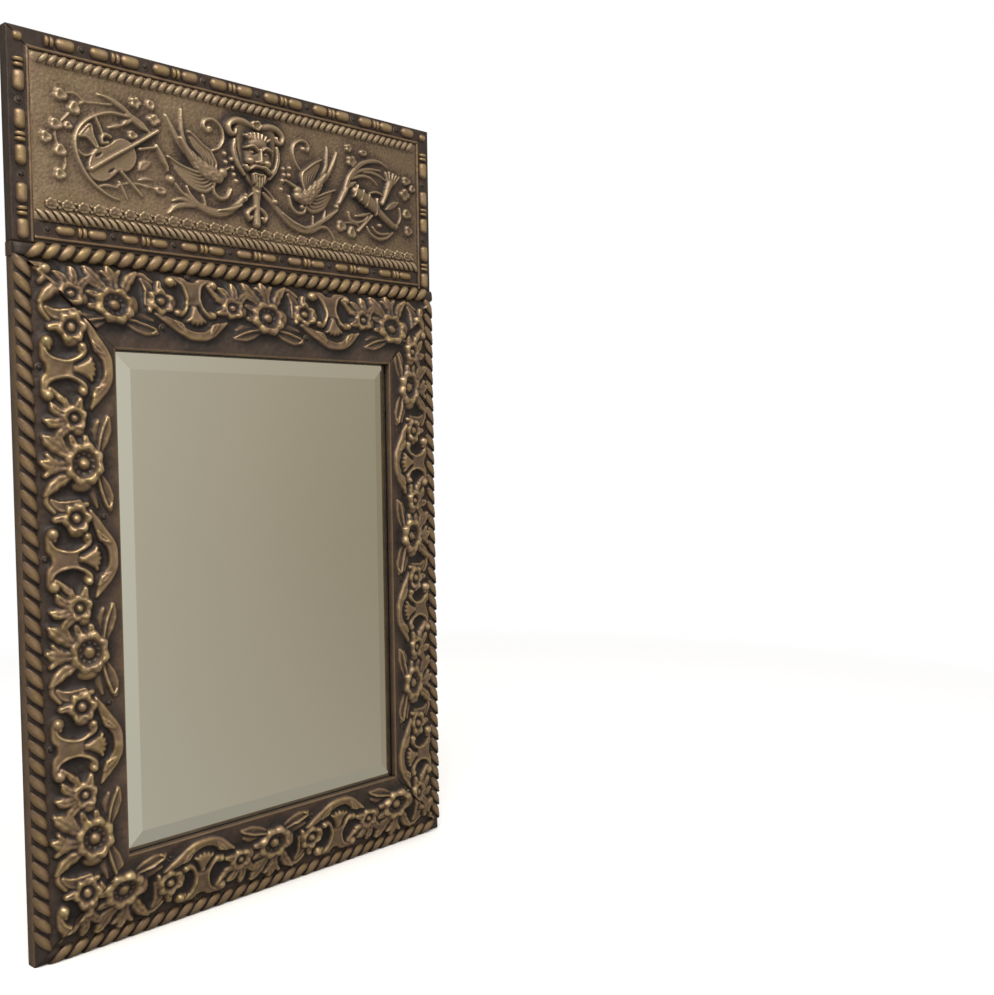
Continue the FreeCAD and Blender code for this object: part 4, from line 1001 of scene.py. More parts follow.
# Frieze panel. Strokes are name: (half-widths along, height, section, points), bosses (x, z, rx, rz, height, turn),
# and slabs name: (height, rounded edge, outline). x is from the panel's middle line and z from its middle height.
friezeStrokes = {
    "ring": ([1, 1.1, 1.2, 1.2, 1.4, 1.5, 1.2, 0.62], 2.2, roundTop, [(-98.6, 24), (-111.1, 24.5), (-122.4, 20.8),
        (-132.1, 13.8), (-137.4, 5.2), (-138.1, -2.2), (-135.9, -11), (-129.9, -21), (-122.4, -27.2),
        (-113.6, -31.5), (-107.6, -32.5)]),
    "ringBit": ([0.88, 0.75, 0.75], 1.8, roundTop, [(-135.9, -4.5), (-131.9, -7), (-126.9, -5.2), (-122.4, -0.2)]),
    "baton": ([1.1, 1], 2.4, roundTop, [(-124, 20), (-121, 14.2), (-118, 7.5)]),
    "hook": ([1.1, 1.2, 1.4, 1.1], 2.6, roundTop, [(-119.1, 3), (-119.3, 6.8), (-116.8, 9.2), (-112.6, 8.2)]),
    "hookFoot": ([1.1, 1.1], 2.4, roundTop, [(-119, 3), (-114.7, 4.2)]),
    "violinNeck": ([2, 1.9, 1.6, 1.5], 4.2, roundTop, [(-128.2, -15.5), (-112.2, -4.5), (-94.7, 7), (-79.7, 17.5)]),
    "bow": ([1.4, 1.2], 2.4, roundTop, [(-106, -13.5), (-90.7, -27.5)]),
    "pegs": ([1.1, 1], 2.4, roundTop, [(-92, 3.8), (-79.5, 7.2)]),
    "torchLeft": ([1.2, 2.1, 2.5, 1.5], 3, roundTop, [(-79.3, 8.5), (-76.3, 3.8), (-73.5, -1), (-71, -5.2)]),
    "rodLeft": ([1.5, 1.2, 1], 2.2, roundTop, [(-64.6, -15.5), (-59.6, -20.5), (-52.6, -25)]),
    "longLeaf": ([0.5, 1.5, 2.1, 1.9, 0.75], 2.4, leafTop, [(-121, 34.5), (-112.5, 33), (-103.7, 29.2),
        (-96.2, 25)]),
    "longLeafLow": ([1, 2.8, 2.8, 0.62], 2.6, leafTop, [(-100.6, 26.2), (-94.6, 22.8), (-89.8, 20.2),
        (-83.8, 16.5)]),
    "leafA": ([0.5, 1.6, 0.62], 2.2, leafTop, [(-114.1, 14.2), (-109.1, 16), (-103.4, 18)]),
    "leafB": ([0.62, 1.9, 0.75], 2.2, leafTop, [(-103.9, 18), (-100.9, 20.2), (-97.1, 21.8)]),
    "leafC": ([0.5, 3.5, 3, 0.38], 1.8, leafTop, [(-92.6, -10.5), (-90.4, -8.2), (-88.1, -6), (-83.1, -3.5)]),
    "sprigStem": ([0.5, 0.5], 1.6, roundTop, [(-110.8, -25), (-105.3, -21.8), (-95.8, -19.8), (-87, -20.2),
        (-79.5, -21.2)]),
    "sprigLeafA": ([0.38, 1.4, 0.38], 1.8, leafTop, [(-92.4, -17), (-87.6, -15.5), (-82.4, -15.5)]),
    "sprigLeafB": ([0.5, 1.6, 0.5], 1.8, leafTop, [(-90.6, -20), (-87.1, -20.5), (-83.4, -20.5)]),
    "sprigCross": ([0.75, 1.1, 0.5], 1.8, leafTop, [(-107.1, -20.5), (-104.4, -25.5), (-101.4, -31.5)]),
    "sprigLeafC": ([0.5, 1.1, 0.38], 1.8, leafTop, [(-123.4, -26.2), (-116.9, -24.2), (-107.6, -24.8)]),
    "vineTop": ([0.62, 0.62, 0.5], 1.4, roundTop, [(-143.4, 31.2), (-136.9, 31.8), (-130.4, 28), (-123.2, 28.5),
        (-111.2, 29.8)]),
    "vineMid": ([0.62, 0.62], 1.4, roundTop, [(-130.4, 28), (-136.7, 24), (-141.9, 17.8), (-147.2, 12.2)]),
    "vineLow": ([0.5, 0.5], 1.4, roundTop, [(-151.2, 7.5), (-151.4, 1.5), (-149.2, -4.2)]),
    "vineEnd": ([0.5, 0.5], 1.4, roundTop, [(-145.7, -8.2), (-144.7, -14.8), (-147.2, -20.2)]),
    "tailOuter": ([0.6, 1.8, 2.5, 2.8], 2.6, featherTop, [(-71.1, 30.9), (-67, 23.8), (-62.5, 16.5), (-56.3, 8.6)]),
    "tailInner": ([1, 1.5, 1.7, 2.2], 2.5, featherTop, [(-58.7, 37.1), (-58.9, 29.5), (-58.4, 21.3),
        (-55.4, 11.5)]),
    "body": ([1.6, 3.2, 5, 6.6, 4.8], 4.6, roundTop, [(-60.9, 16.7), (-55.5, 9.4), (-47.6, 1.7), (-38.7, -3.1),
        (-29.6, -5.2)]),
    "beak": ([1.6, 0.5], 3.2, roundTop, [(-26.1, -0.7), (-19.2, 3.6)]),
    "stringL": ([0.9, 0.8, 0.7], 2.6, roundTop, [(-5.8, -16.7), (0.5, -11.4), (2.5, -8)]),
    "sheathL": ([0.6, 1.7, 0.8], 4.4, leafTop, [(-30.2, -28.8), (-20, -26.6), (-10.4, -22.4)]),
    "curl": ([1.2, 1.5, 1.5, 1.4, 1.2], 2.4, roundTop, [(-33.7, -11), (-33, -16.8), (-28.2, -20), (-22.2, -18.2),
        (-18.5, -12.2)]),
    "tendril": ([0.88, 1.1, 1.2, 1.4, 1.4], 2.4, roundTop, [(-33.5, 13.2), (-27.5, 16.5), (-24.2, 22.8),
        (-25.5, 30), (-30, 34.2), (-35, 35.2), (-39.7, 32.8), (-40.7, 28.8), (-37.7, 26), (-34.2, 27.5)]),
    "scrollL": ([1.2, 2.5, 3, 3.1, 2.8, 2.4, 1.8], 3, featherTop, [(-56.5, -21.5), (-47.8, -26.8), (-39, -30),
        (-30.9, -30.8), (-22.8, -29), (-12.8, -22.5), (-5.4, -14.4)]),
    "scrollTip": ([0.5, 1, 1.5], 2.4, leafTop, [(-55.5, -15.5), (-53.2, -20.2), (-47.5, -26)]),
    "stubL": ([0.88, 1.1], 2.2, roundTop, [(-42.4, -20), (-40.6, -26.5)]),
    "scrollLeafA": ([0.5, 1.6, 1], 2.2, leafTop, [(-67.1, -27.2), (-59.6, -25), (-49.9, -27.5)]),
    "scrollLeafB": ([0.5, 1.8, 1.9, 1], 2.2, leafTop, [(-70.6, -36.5), (-65.4, -31.5), (-58.4, -29),
        (-49.1, -28.5)]),
    "tailInnerR": ([0.6, 1.5, 1.8, 2.2], 2.5, featherTop, [(71.7, 34), (71, 25.4), (69.8, 17.4), (63.6, 8)]),
    "tailOuterR": ([0.6, 1.4, 1.9, 2.4], 2.6, featherTop, [(81.2, 31.7), (77.4, 22.6), (72.7, 14.1), (66.6, 6.9)]),
    "bodyR": ([1.8, 3.6, 5.6, 6.6, 4.6], 4.6, roundTop, [(67.7, 11.7), (61.6, 3.8), (54.5, -4.1), (47.7, -8.9),
        (41.9, -8.3)]),
    "beakR": ([2.2, 1.4, 0.5], 3.4, roundTop, [(41.1, -2.7), (30, 2)]),
    "stringR": ([0.7, 0.8, 0.9], 2.6, roundTop, [(7, -5.5), (14, -9.2), (19.4, -14.5)]),
    "sheathR": ([0.6, 1.6, 0.8], 4.2, leafTop, [(26.5, -23.2), (36.7, -29), (48, -31.7)]),
    "curlR": ([1.1, 1.5, 1.5, 1.4, 1.2], 2.4, roundTop, [(33.5, -9.5), (35.5, -16.8), (40.8, -21), (47.3, -19.8),
        (48.5, -16.2)]),
    "tendrilR": ([0.88, 1.1, 1.2, 1.4, 1.4], 2.4, roundTop, [(44.5, 12.2), (40, 17.5), (38, 23.8), (39.3, 30),
        (44.3, 34), (49.5, 34.5), (53, 31.2), (52.3, 27.8), (49, 28.8)]),
    "scrollR": ([1.8, 2.2, 2.7, 3, 2.8, 2, 1.2, 0.8], 3, featherTop, [(9.6, -11), (16.5, -16), (26.5, -24.2),
        (35.2, -30.2), (45.2, -33.2), (55.2, -32.5), (63.5, -29), (71, -29.5), (77.2, -37)]),
    "scrollPlume": ([0.75, 1.6, 1.9, 1.9, 0.62], 2.8, leafTop, [(41.6, -32), (52.8, -30.5), (62.3, -25.8),
        (71.6, -20), (81.1, -13.2)]),
    "sprigRA": ([0.75, 0.75], 2, leafTop, [(56, -27.2), (56.5, -21.5)]),
    "sprigRB": ([0.88, 1, 0.38], 2, leafTop, [(64.5, -25), (67.5, -20), (69, -15)]),
    "torchR": ([1.9, 2.2, 2.5, 2.2], 3.2, roundTop, [(82.1, -7.8), (85.1, -3.2), (88.4, 2), (89.9, 4.5)]),
    "plumeA": ([1.8, 2.1, 2, 1.6, 0.5], 2.6, leafTop, [(88.4, 2.8), (93.2, 13.8), (101.9, 23.8), (112.2, 29.5),
        (124.2, 31.5), (133.9, 28.2)]),
    "plumeB": ([1, 1.5, 1.4, 0.5], 2.2, leafTop, [(94.9, 14.2), (103.4, 20.5), (114.4, 23.8), (127.1, 24.8)]),
    "plumeC": ([0.75, 1.1, 1.1, 0.5], 2.2, leafTop, [(108.1, 20.5), (116.9, 21.5), (124.4, 20.5), (132.4, 17.5)]),
    "plumeD": ([1, 1.4, 1.1, 0.5], 2.2, leafTop, [(95.6, 13.2), (105.6, 17.2), (115.6, 17), (123.4, 12.5)]),
    "plumeE": ([1.2, 2.2, 0.75], 2.4, leafTop, [(90.3, 5), (94.8, 8.5), (100, 11.2)]),
    "drum": ([4.2, 5.2, 5.8, 5.5], 4.4, roundTop, [(99.7, 4), (107, 0.2), (114.2, -3.2), (119.7, -6)]),
    "drumTube": ([3.5, 3.2, 2.8], 3.4, roundTop, [(122, -7.8), (130, -13.2), (138.2, -18.2)]),
    "drumStrap": ([0.75, 1, 0.88], 2.4, roundTop, [(114, 4.5), (120.3, 6.5), (126.5, 5.8), (130.8, 2.5)]),
    "goblet": ([2, 2.2, 2.8, 3.8], 3.4, roundTop, [(127.5, -1.8), (130.7, 4), (133.7, 10), (136.5, 15.8)]),
    "broadLeaf": ([0.62, 2.6, 2.8, 0.62], 2, leafTop, [(131.8, -6), (137, -3), (141.5, -0.5), (146, 1.5)]),
    "arcR": ([0.75, 1, 0.88], 1.8, roundTop, [(147.1, -3), (148.1, -10.5), (145.6, -15.5), (141.6, -18.2)]),
    "ribbonR": ([1.1, 1.4, 1.1, 0.88], 2, roundTop, [(92.2, -13.5), (94, -19), (100.8, -20.5), (108.5, -17.8),
        (112.2, -14)]),
    "leafR": ([0.5, 1.6, 0.5], 2.2, leafTop, [(99.6, -15.5), (107.1, -13.8), (114.9, -11.2)]),
    "stickR": ([1.5, 1.4], 2.6, roundTop, [(116.2, -13.2), (101.9, -27)]),
    "stemR": ([0.62, 0.62], 1.6, roundTop, [(86.7, -22.5), (94.7, -21.5), (103, -22.8)]),
    "crescent": ([0.62, 1.4, 1.6, 1.4, 0.62], 2.4, roundTop, [(110.8, -22.5), (114.8, -28), (123, -31), (132, -29),
        (139, -23.8)]),
    "crescentIn": ([0.5, 1.4, 1.5, 0.62], 2.2, roundTop, [(117.1, -22), (120.6, -25.8), (127.1, -26.8),
        (135.1, -25)]),
}
# Wings of the swallows: feathers, height, then the leading and trailing edges from the tip
friezeWings = [
    (5, 3.2, [(-53.1, 23), (-48.7, 20.3), (-42.3, 15.2), (-36.6, 12.4), (-33.4, 7.6), (-31.4, 3.4), (-33, -2.4)],
     [(-53.1, 23), (-51.2, 17.1), (-48.1, 12.1), (-43.4, 8), (-41, 4.2)]),
    (6, 3.2, [(-70, 2.8), (-63, -0.8), (-55.8, -3.1), (-47.8, -4.6), (-40.4, -4.8)],
     [(-70, 2.8), (-65.4, -4), (-59.2, -9.6), (-53.7, -13.2), (-47.3, -16.2), (-39.6, -16.4), (-33.4, -11.6),
        (-31, -6.6)]),
    (6, 3.2, [(66, 23.4), (58, 19.3), (50.1, 13.5), (46.2, 9.8), (45.6, 4), (47.6, -3)],
     [(66, 23.4), (62.4, 16.2), (58.3, 9.4), (53, 1)]),
    (5, 3.2, [(78.4, 1.8), (68.3, -2.1), (61.3, -5.4), (54.4, -8.7)],
     [(78.4, 1.8), (72.2, -6.9), (66.1, -14), (55.6, -17.8), (49.6, -15), (46.6, -10.4)]),
]
friezeBosses = [
    (-78.8, 18, 1.8, 1.8, 4.4), (-70.8, -6.8, 1.4, 1.4, 2.8), (-68.1, -13, 3.2, 3.2, 3.6),
    (-35.8, 28.2, 2.4, 2.1, 2.8), (-33.4, -10.5, 2, 1.9, 2.8), (-25.8, -1.6, 4.2, 3.8, 4.6),
    (-7.2, -17.2, 2.6, 2.4, 4.6), (19.6, -16, 2.6, 2.4, 4.6), (80.2, -11, 2.1, 2.1, 3), (41.5, -4.2, 4.2, 3.8, 4.6),
    (48.3, 28.5, 2.2, 2, 2.8), (45.6, -16, 2.2, 2.1, 2.8), (142.1, -18.8, 3, 2.8, 3.2), (125, -20, 2.4, 1.9, 2.4),
    (133.6, 12.5, 3, 1, 3.6, 28), (130.9, 3.8, 2.8, 0.9, 3.2, 28),
]
friezeDots = [(-22.9, 12.8), (-22.1, 6.8), (-17.4, 9.5), (-16.6, 3.5), (-15.4, -1.2), (-13.4, -5.5), (28.9, 10.2),
              (35.1, 11.8), (29.4, 5.8), (34.4, 6.2), (27.9, 1.2), (26.6, -5.5)]
# Ivy leaves and small roses: x, z, half sizes, lobes, turn
friezeBlooms = [
    (-147.2, 29, 4.5, 4, 3, 40), (-138, 22.2, 4.1, 4.5, 3, 100), (-151, 9.5, 4.5, 3.8, 3, 20),
    (-142.8, 10.2, 3, 2.5, 3, 60), (-157.9, 0.2, 3.8, 4, 3, 0), (-148.5, -6.8, 4.2, 4, 3, 80),
    (-149.2, -22, 4, 3.8, 3, 30), (-93.8, 34.5, 4, 3.9, 5, 0), (-82.8, 35.2, 3, 4.2, 2, 20),
    (-80.2, 25.5, 4.5, 3.8, 4, 30), (-96.5, 12.2, 3.8, 3, 3, 10), (-76.5, -21.8, 4.2, 3.2, 2, 0),
    (92.8, 37, 3.2, 3.2, 5, 0), (108.2, 35.8, 3.5, 2.8, 2, 0), (96, 27, 4.8, 4.4, 5, 20),
    (155, 20.5, 4.5, 3.5, 3, 0), (161.5, 15, 3.2, 3, 3, 40), (153.2, 9, 5, 4.8, 4, 20),
    (155.2, -6.8, 4.6, 4, 3, 60), (156.8, -20.5, 4.1, 4.2, 3, 0), (84.5, -25.5, 4.5, 4.5, 3, 30),
    (95.2, -29.2, 3.9, 4.8, 3, 90),
]
friezeSlabs = {
    "violin": (1.8, 0.8, [(-121.4, -0.6), (-126.1, -6), (-128.6, -11.6), (-128.6, -17.2), (-126.1, -20.8),
        (-121.9, -21.8), (-116.9, -20.5), (-112.8, -17.5), (-109.6, -14.5), (-106.9, -12.2), (-102.1, -12.2),
        (-97.8, -9.1), (-95.1, -3.8), (-95.6, 1.5), (-98.4, 6), (-104, 8), (-109, 6.5), (-112.1, 3.8),
        (-115.9, 1.2), (-118.6, 0)]),
    "bell": (2.4, 2.4, [(-136, 4.8), (-127.7, 13.8), (-125.5, 7.1), (-122.2, 0.2), (-123.7, -0.2), (-129.7, 5)]),
}
drumBands = [[(106.7, 5.8), (103.5, -3)], [(112.7, 3.2), (109.5, -6.5)], [(120.7, 1), (119.7, -12.2)],
             [(100.5, 8.8), (97, -0.5)]]
gobletSpray = [[(134.5, 15.8), (132.5, 24.2)], [(136.3, 17), (136.3, 25)], [(138.3, 17.5), (140.5, 24.5)],
               [(139.8, 17), (144, 23.5)], [(140.8, 15.8), (147.3, 22.8)]]
violinHoles = [(-122.0, -5.0), (-113.0, -14.0)]
friezeSheet = {
    "rasterStep": 0.25, "gridStep": 0.61, "soften": 0.30, "uneven": 0.4, "unevenMm": 24,
    "stipple": 0.14, "stippleMm": 1.2,
    "swellMm": 1.0, "swell": 0.6,            # the sheet draws up round the forms
    "maskX": 3.2,
    "dot": (1.8, 1.8, 2.2), "bloomSize": 1.12,
    "bloom": [(0, 1.3), (0.25, 1.6), (0.7, 2.6), (0.9, 2.2), (1, 0.9)],
    "ropeHighZ": 49.55, "ropeLowZ": -49.65, "ropeBed": 0.7, "ropeHalf": 3.4,
    "falloffShade": 0.13, "falloffFrom": -10, "falloffOver": 150,       # painted shade: the sheet is painted dimmer towards the right, standing in for light falling off
    "inset": 1.5, "backTone": 0.2,
    "tone": {"fineMm": 0.8, "broadMm": 4.6, "ground": 0.56, "lift": 0.0, "full": 4.0,
             "fine": 0.44, "broad": 0.34, "rub": 0.06},
}


# Grotesque mask on a shield with scrolled corners, and the pendant under it
def pressMask(plate, x):
    def pair(points):
        return [[(x + side * a, z) for a, z in points] for side in (-1, 1)]
    shield = ((14, 38.6), (18.4, 34), (17.6, 20), (15, 8), (9.6, -3), (4, -9))
    slab(plate, [(x + a, z) for a, z in shield] + [(x - a, z) for a, z in shield[::-1]], 2.8, 2.2)
    for points in pair([(5, 36.6), (12, 38.4), (19, 37.6), (23.6, 33.4), (22.6, 28.6), (18.8, 28.2), (18, 31.4)]):
        stroke(plate, points, [2.4, 3.0, 3.0, 2.6, 2.3, 1.9, 1.5], 5.0)
    for points in pair([(18.6, 24), (19.4, 16), (16.4, 7), (11, 0)]):
        stroke(plate, points, [1.6, 2.2, 2.0, 1.2], 4.4, leafTop)
    bloom(plate, x, 37.2, 5.4, 4.0, 5, [(0, 3.6), (0.5, 4.2), (0.7, 5.8), (0.9, 5.2), (1, 3.0)], 0.1, 0.2)
    # the face: cheeks and jaw, brow, eyes, nose, moustache and beard
    boss(plate, x, 14.5, 13.2, 16.4, 6.6)
    boss(plate, x, 24, 10.2, 6.0, 7.6)
    for k in range(-3, 4):
        stroke(plate, [(x + 2.6 * k, 26.5), (x + 3.5 * k, 31.2 - 0.3 * k * k)], [1.8, 1.3], 7.0)
    for points in pair([(1.4, 18.2), (5.6, 21.0), (11.2, 19.4)]):
        stroke(plate, points, [1.5, 2.1, 1.1], 9.0)
    for side in (-1, 1):
        sink(plate, x + side * 5.8, 16.6, 3.7, 2.0, 5.4)
        boss(plate, x + side * 5.8, 16.5, 2.5, 1.4, 7.2)
        boss(plate, x + side * 7.4, 10.2, 4.4, 3.8, 8.4)
        boss(plate, x + side * 2.6, 9.6, 1.7, 1.5, 8.8)
    stroke(plate, [(x, 19), (x, 14), (x, 9.8)], [1.5, 1.9, 2.7], 10.0)
    for points in pair([(0.6, 6.6), (5.0, 6.4), (9.8, 3.6), (12.2, 6.4)]):
        stroke(plate, points, [1.4, 2.1, 1.5, 0.8], 8.6)
    sink(plate, x, 3.8, 4.2, 1.3, 4.6)
    stroke(plate, [(x - 3.8, 1.6), (x, 0.8), (x + 3.8, 1.6)], [0.9, 1.5, 0.9], 7.4)
    for k in range(-2, 3):
        stroke(plate, [(x + 2.6 * k, -0.8 + 0.4 * k * k), (x + 1.9 * k, -8.4 + 0.8 * k * k)], [1.7, 0.9], 6.6)
    # pendant
    stroke(plate, [(x, -9), (x, -15), (x, -24), (x, -33)], [4.8, 3.4, 3.0, 3.6], 4.2)
    boss(plate, x, -11.5, 2.6, 2.4, 5.4)
    boss(plate, x, -34.5, 3.4, 3.2, 4.4)
    for points in pair([(2, -22.5), (5.4, -24.5), (8.4, -28), (6.6, -31.6), (4.6, -29.6)]):
        stroke(plate, points, [1.6, 2.0, 2.0, 1.7, 1.3], 3.8)


def friezePlate(low, high):
    middle = (low[2] + high[2]) / 2
    step = friezeSheet["rasterStep"]
    plate = blankPlate(low[0], high[0], low[2] - middle, high[2] - middle, step)
    for height, edge, outline in friezeSlabs.values():
        slab(plate, outline, height, edge)
        stroke(plate, outline + outline[:1], [0.7, 0.7], height + 0.5)
    for x, z in violinHoles:
        sink(plate, x, z, 3.0, 0.9, 0.6, 34)
    for widths, height, top, points in friezeStrokes.values():
        stroke(plate, points, widths, height, top)
    for spec in friezeWings:
        wing(plate, *spec)
    for seed, name in enumerate(("body", "bodyR")):
        widths, height, top, points = friezeStrokes[name]
        plumage(plate, points, widths, height, 41 + seed)
    for points in drumBands:
        stroke(plate, points, [1.0, 1.0], 5.0)
    for points in gobletSpray:
        stroke(plate, points, [1.1, 0.62], 2.4, leafTop)
    for spec in friezeBosses + [(*place, *friezeSheet["dot"]) for place in friezeDots]:
        boss(plate, *spec)
    bloomSize = friezeSheet["bloomSize"]
    for x, z, rx, rz, lobes, turn in friezeBlooms:
        bloom(plate, x, z, bloomSize * rx, bloomSize * rz, lobes, friezeSheet["bloom"], 0.2, 0.3, turn)
    pressMask(plate, friezeSheet["maskX"])
    plate["h"] = np.maximum(plate["h"], friezeSheet["swell"] * soften(plate["h"], friezeSheet["swellMm"] / step, False))
    for z in (friezeSheet["ropeHighZ"], friezeSheet["ropeLowZ"]):
        stroke(plate, [(low[0] + 4, z), (high[0] - 4, z)], [friezeSheet["ropeHalf"]] * 2, friezeSheet["ropeBed"])
    x, z = plate["xs"][None, :], plate["ys"][:, None]
    ground = np.clip(1 - plate["h"] / 1.2, 0.15, 1)          # the stipple is on the ground, not on the forms
    size = friezeSheet["stippleMm"]
    grain = wander(x, z, size, 11) + 0.7 * wander(x, z, size * 0.55, 12)
    plate["h"] = soften(plate["h"], friezeSheet["soften"] / step, False)
    plate["h"] += ground * friezeSheet["stipple"] * grain
    # painted shade that deepens to the right, in place of the light's falloff
    dark = np.clip((x - friezeSheet["falloffFrom"]) / friezeSheet["falloffOver"], 0, 1)
    plate["tone"] = toneOf(plate, friezeSheet["tone"]) - friezeSheet["falloffShade"] * dark
    plate["h"] += friezeSheet["uneven"] * wander(x, z, friezeSheet["unevenMm"], 13)
    return plate


low, high = (np.array(corner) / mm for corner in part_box("frieze_panel"))
panelZ = (low[2] + high[2]) / 2
plate = friezePlate(low, high)
columnCount, rowCount = (round((high[axis] - low[axis]) / friezeSheet["gridStep"]) + 1 for axis in (0, 2))
x = np.linspace(low[0], high[0], columnCount)[None, :]
z = np.linspace(high[2], low[2], rowCount)[:, None]
edge = np.minimum(np.minimum(x - low[0], high[0] - x), np.minimum(z - low[2], high[2] - z))
h, tone = (sample(plate, plate[field], x + 0 * z, z - panelZ + 0 * x) for field in ("h", "tone"))
front = grid(x, carcass["flatY"] - h * np.clip(edge / friezeSheet["inset"], 0, 1), z)
behind = grid(x, carcass["flatY"] + carcass["sheet"], np.array([low[2], high[2]])[:, None])
tone = np.concatenate([tone, np.full((2, columnCount), friezeSheet["backTone"])])
putPiece("friezePanel", skinMesh("friezePanel", np.concatenate([front, behind]), tone, True, rowCount), friezeBrass,
         "embossed_brass", "frieze_panel")

# Rows on the panel: ropes along its edges, and shells with dots between them
friezeRows = {
    "ropeHighFrom": -158.5, "ropeLowFrom": -162.0, "shellFrom": -155.4, "shellStep": 11.1, "shellZ": -42.4,
    "shell": {"r": 5.2, "h": 2.6, "petals": 7, "tone": (0.42, 0.55, 0.25)},
    "dot": 2.6, "dotHigh": 2.6, "dotLow": -1.2, "spread": 0.04,
}


# A small shell: a scalloped rim over a hollow face, facing out along -Y
def shellMesh(name, look):
    sides = look["petals"] * 4
    path = [(0.02, 0.5), (0.3, 0.42), (0.52, 0.36), (0.78, 1.0), (0.92, 0.72), (1.0, 0.0), (0.9, -0.3), (0.02, -0.3)]
    share, lift, angle = turning(path, sides)
    between = (0.5 - 0.5 * np.cos(look["petals"] * angle)) * (share > 0.5)
    spread = look["r"] * share * (1 - 0.12 * between)
    low = np.where(np.sin(angle) < 0, 0.6, 1.0)
    rim = np.where(np.sin(angle) < -0.3, 0.55, 1.0)
    rings = grid(spread * np.cos(angle), -look["h"] * lift * rim * (1 - 0.2 * between), spread * low * np.sin(angle))
    # painted highlight and shade: the upper rim is painted lightest; the hollow face, the folds between petals and the
    # lower rim are dimmer, as patina and as painted shade
    hollow, crown, fold = look["tone"]
    return skinMesh(name, rings, hollow + (crown - fold * between) * rim * np.clip(lift, 0, 1) ** 2, True, sides + 1)


def friezeRow(name, piece, z, step, start, seed):
    count = int((panelX - 4 - start) / step) + 1
    return layRow(name, piece, (start, carcass["flatY"], panelZ + z), (step, 0, 0), count, (0, 0, 0), seed, friezeBrass,
                  friezeRows["spread"], friezeRows["spread"])


strandHigh = template(strandMesh("friezeStrandHigh", friezeRopeHigh))
strandLow = template(strandMesh("friezeStrandLow", friezeRopeLow))
shell = template(shellMesh("shell", friezeRows["shell"]))
dot = template(turnedMesh("dot", roundedPath(friezeRows["dot"], friezeRows["dot"]), 8, beadTone))
shellZ, shellStep, shellFrom = (friezeRows[size] for size in ("shellZ", "shellStep", "shellFrom"))
putPiece("friezeRows", joinMeshes("friezeRows", [
    friezeRow("ropeHigh", strandHigh, friezeSheet["ropeHighZ"], friezeRopeHigh["pitch"], friezeRows["ropeHighFrom"], 81),
    friezeRow("ropeLow", strandLow, friezeSheet["ropeLowZ"], friezeRopeLow["pitch"], friezeRows["ropeLowFrom"], 82),
    friezeRow("shellRow", shell, shellZ, shellStep, shellFrom, 83),
    friezeRow("dotRowHigh", dot, shellZ + friezeRows["dotHigh"], shellStep, shellFrom + shellStep / 2, 84),
    friezeRow("dotRowLow", dot, shellZ + friezeRows["dotLow"], shellStep, shellFrom + shellStep / 2, 85),
]), friezeBrass, "embossed_brass")
print("frieze pressed")


# Pins: domed heads in a raised collar
pinHead = {"r": 2.2, "h": 1.4, "collar": 1.35, "sides": 10, "collarTone": 0.34, "domeTone": (0.02, 0.2),
           "out": 0.3, "sizeSpread": 0.06, "turnSpread": 0.12}


def pinMesh(name, look):
    path = [(0.02, 1.0), (0.4, 0.9), (0.75, 0.55), (0.95, 0.05), (1.1, 0.2),
            (look["collar"], 0.0), (look["collar"], -0.3), (0.02, -0.3)]
    share, lift, angle = turning(path, look["sides"])
    rings = grid(look["r"] * share * np.cos(angle), -look["h"] * lift, look["r"] * share * np.sin(angle))
    dark, crown = look["domeTone"]
    tone = np.where(share > 1, look["collarTone"], dark + crown * np.clip(lift - 0.5, 0, 1)) + 0 * angle
    return skinMesh(name, rings, tone, True, look["sides"] + 1)


def floralPinPlaces():
    places, turns = [], []
    tilts = {"top": (slope, 0, 0), "bottom": (-slope, 0, 0), "left": (0, 0, -slope), "right": (0, 0, slope)}
    for side, phase in floral["flowerAt"].items():
        half = halfH if side in ("left", "right") else halfW
        for k in range(-4, 5):
            for s, t in floral["pinAt"]:
                at = phase + k * floral["repeat"] + s
                if abs(at) < half - t - 2 * pinHead["r"]:
                    u = (t - floral["lift"][side]) * math.cos(slope)
                    places.append(onSide(side, at, u, slopeY(u) - pinHead["out"]).tolist())
                    turns.append(tilts[side])
    return places, turns


pin = template(pinMesh("pin", pinHead))
for name, (places, turns), seed, replaced in (
        ("floralPins", floralPinPlaces(), 91, "floral_pins"),
        ("friezePins", (friezePinPlaces, [(0, 0, 0)] * len(friezePinPlaces)), 92, "frieze_pins")):
    mesh = scatter(name, pin, places, turns, seed, pinBrass, pinHead["sizeSpread"], pinHead["turnSpread"])
    putPiece(name, mesh, pinBrass, "pin_brass", replaced)
for obj in templates:
    bpy.data.objects.remove(obj)
print("pins driven")


# Materials of the CAD pieces that are shown as they are
for finish, names in (
        (frameWood["Z"], ("frame_left", "frame_right", "tie_batten_left", "tie_batten_right")),
        (frameWood["X"], ("frame_top", "frame_bottom")),
        (friezeWood, ("frieze_board",)),
        (boardWood, ("corner_keys", "joint_dowels", "backboard",
                     "packing_left", "packing_right", "packing_top", "packing_bottom")),
        (mirrorGlass, ("mirror_glass",)),
        (hangerBrass, ("hanger_plate_left", "hanger_plate_right", "hanger_ring_left", "hanger_ring_right")),
        (screwSteel, ("tie_screws", "backboard_screws", "hanger_screws"))):
    for name in names:
        nodes[name].data.materials.clear()
        nodes[name].data.materials.append(finish)

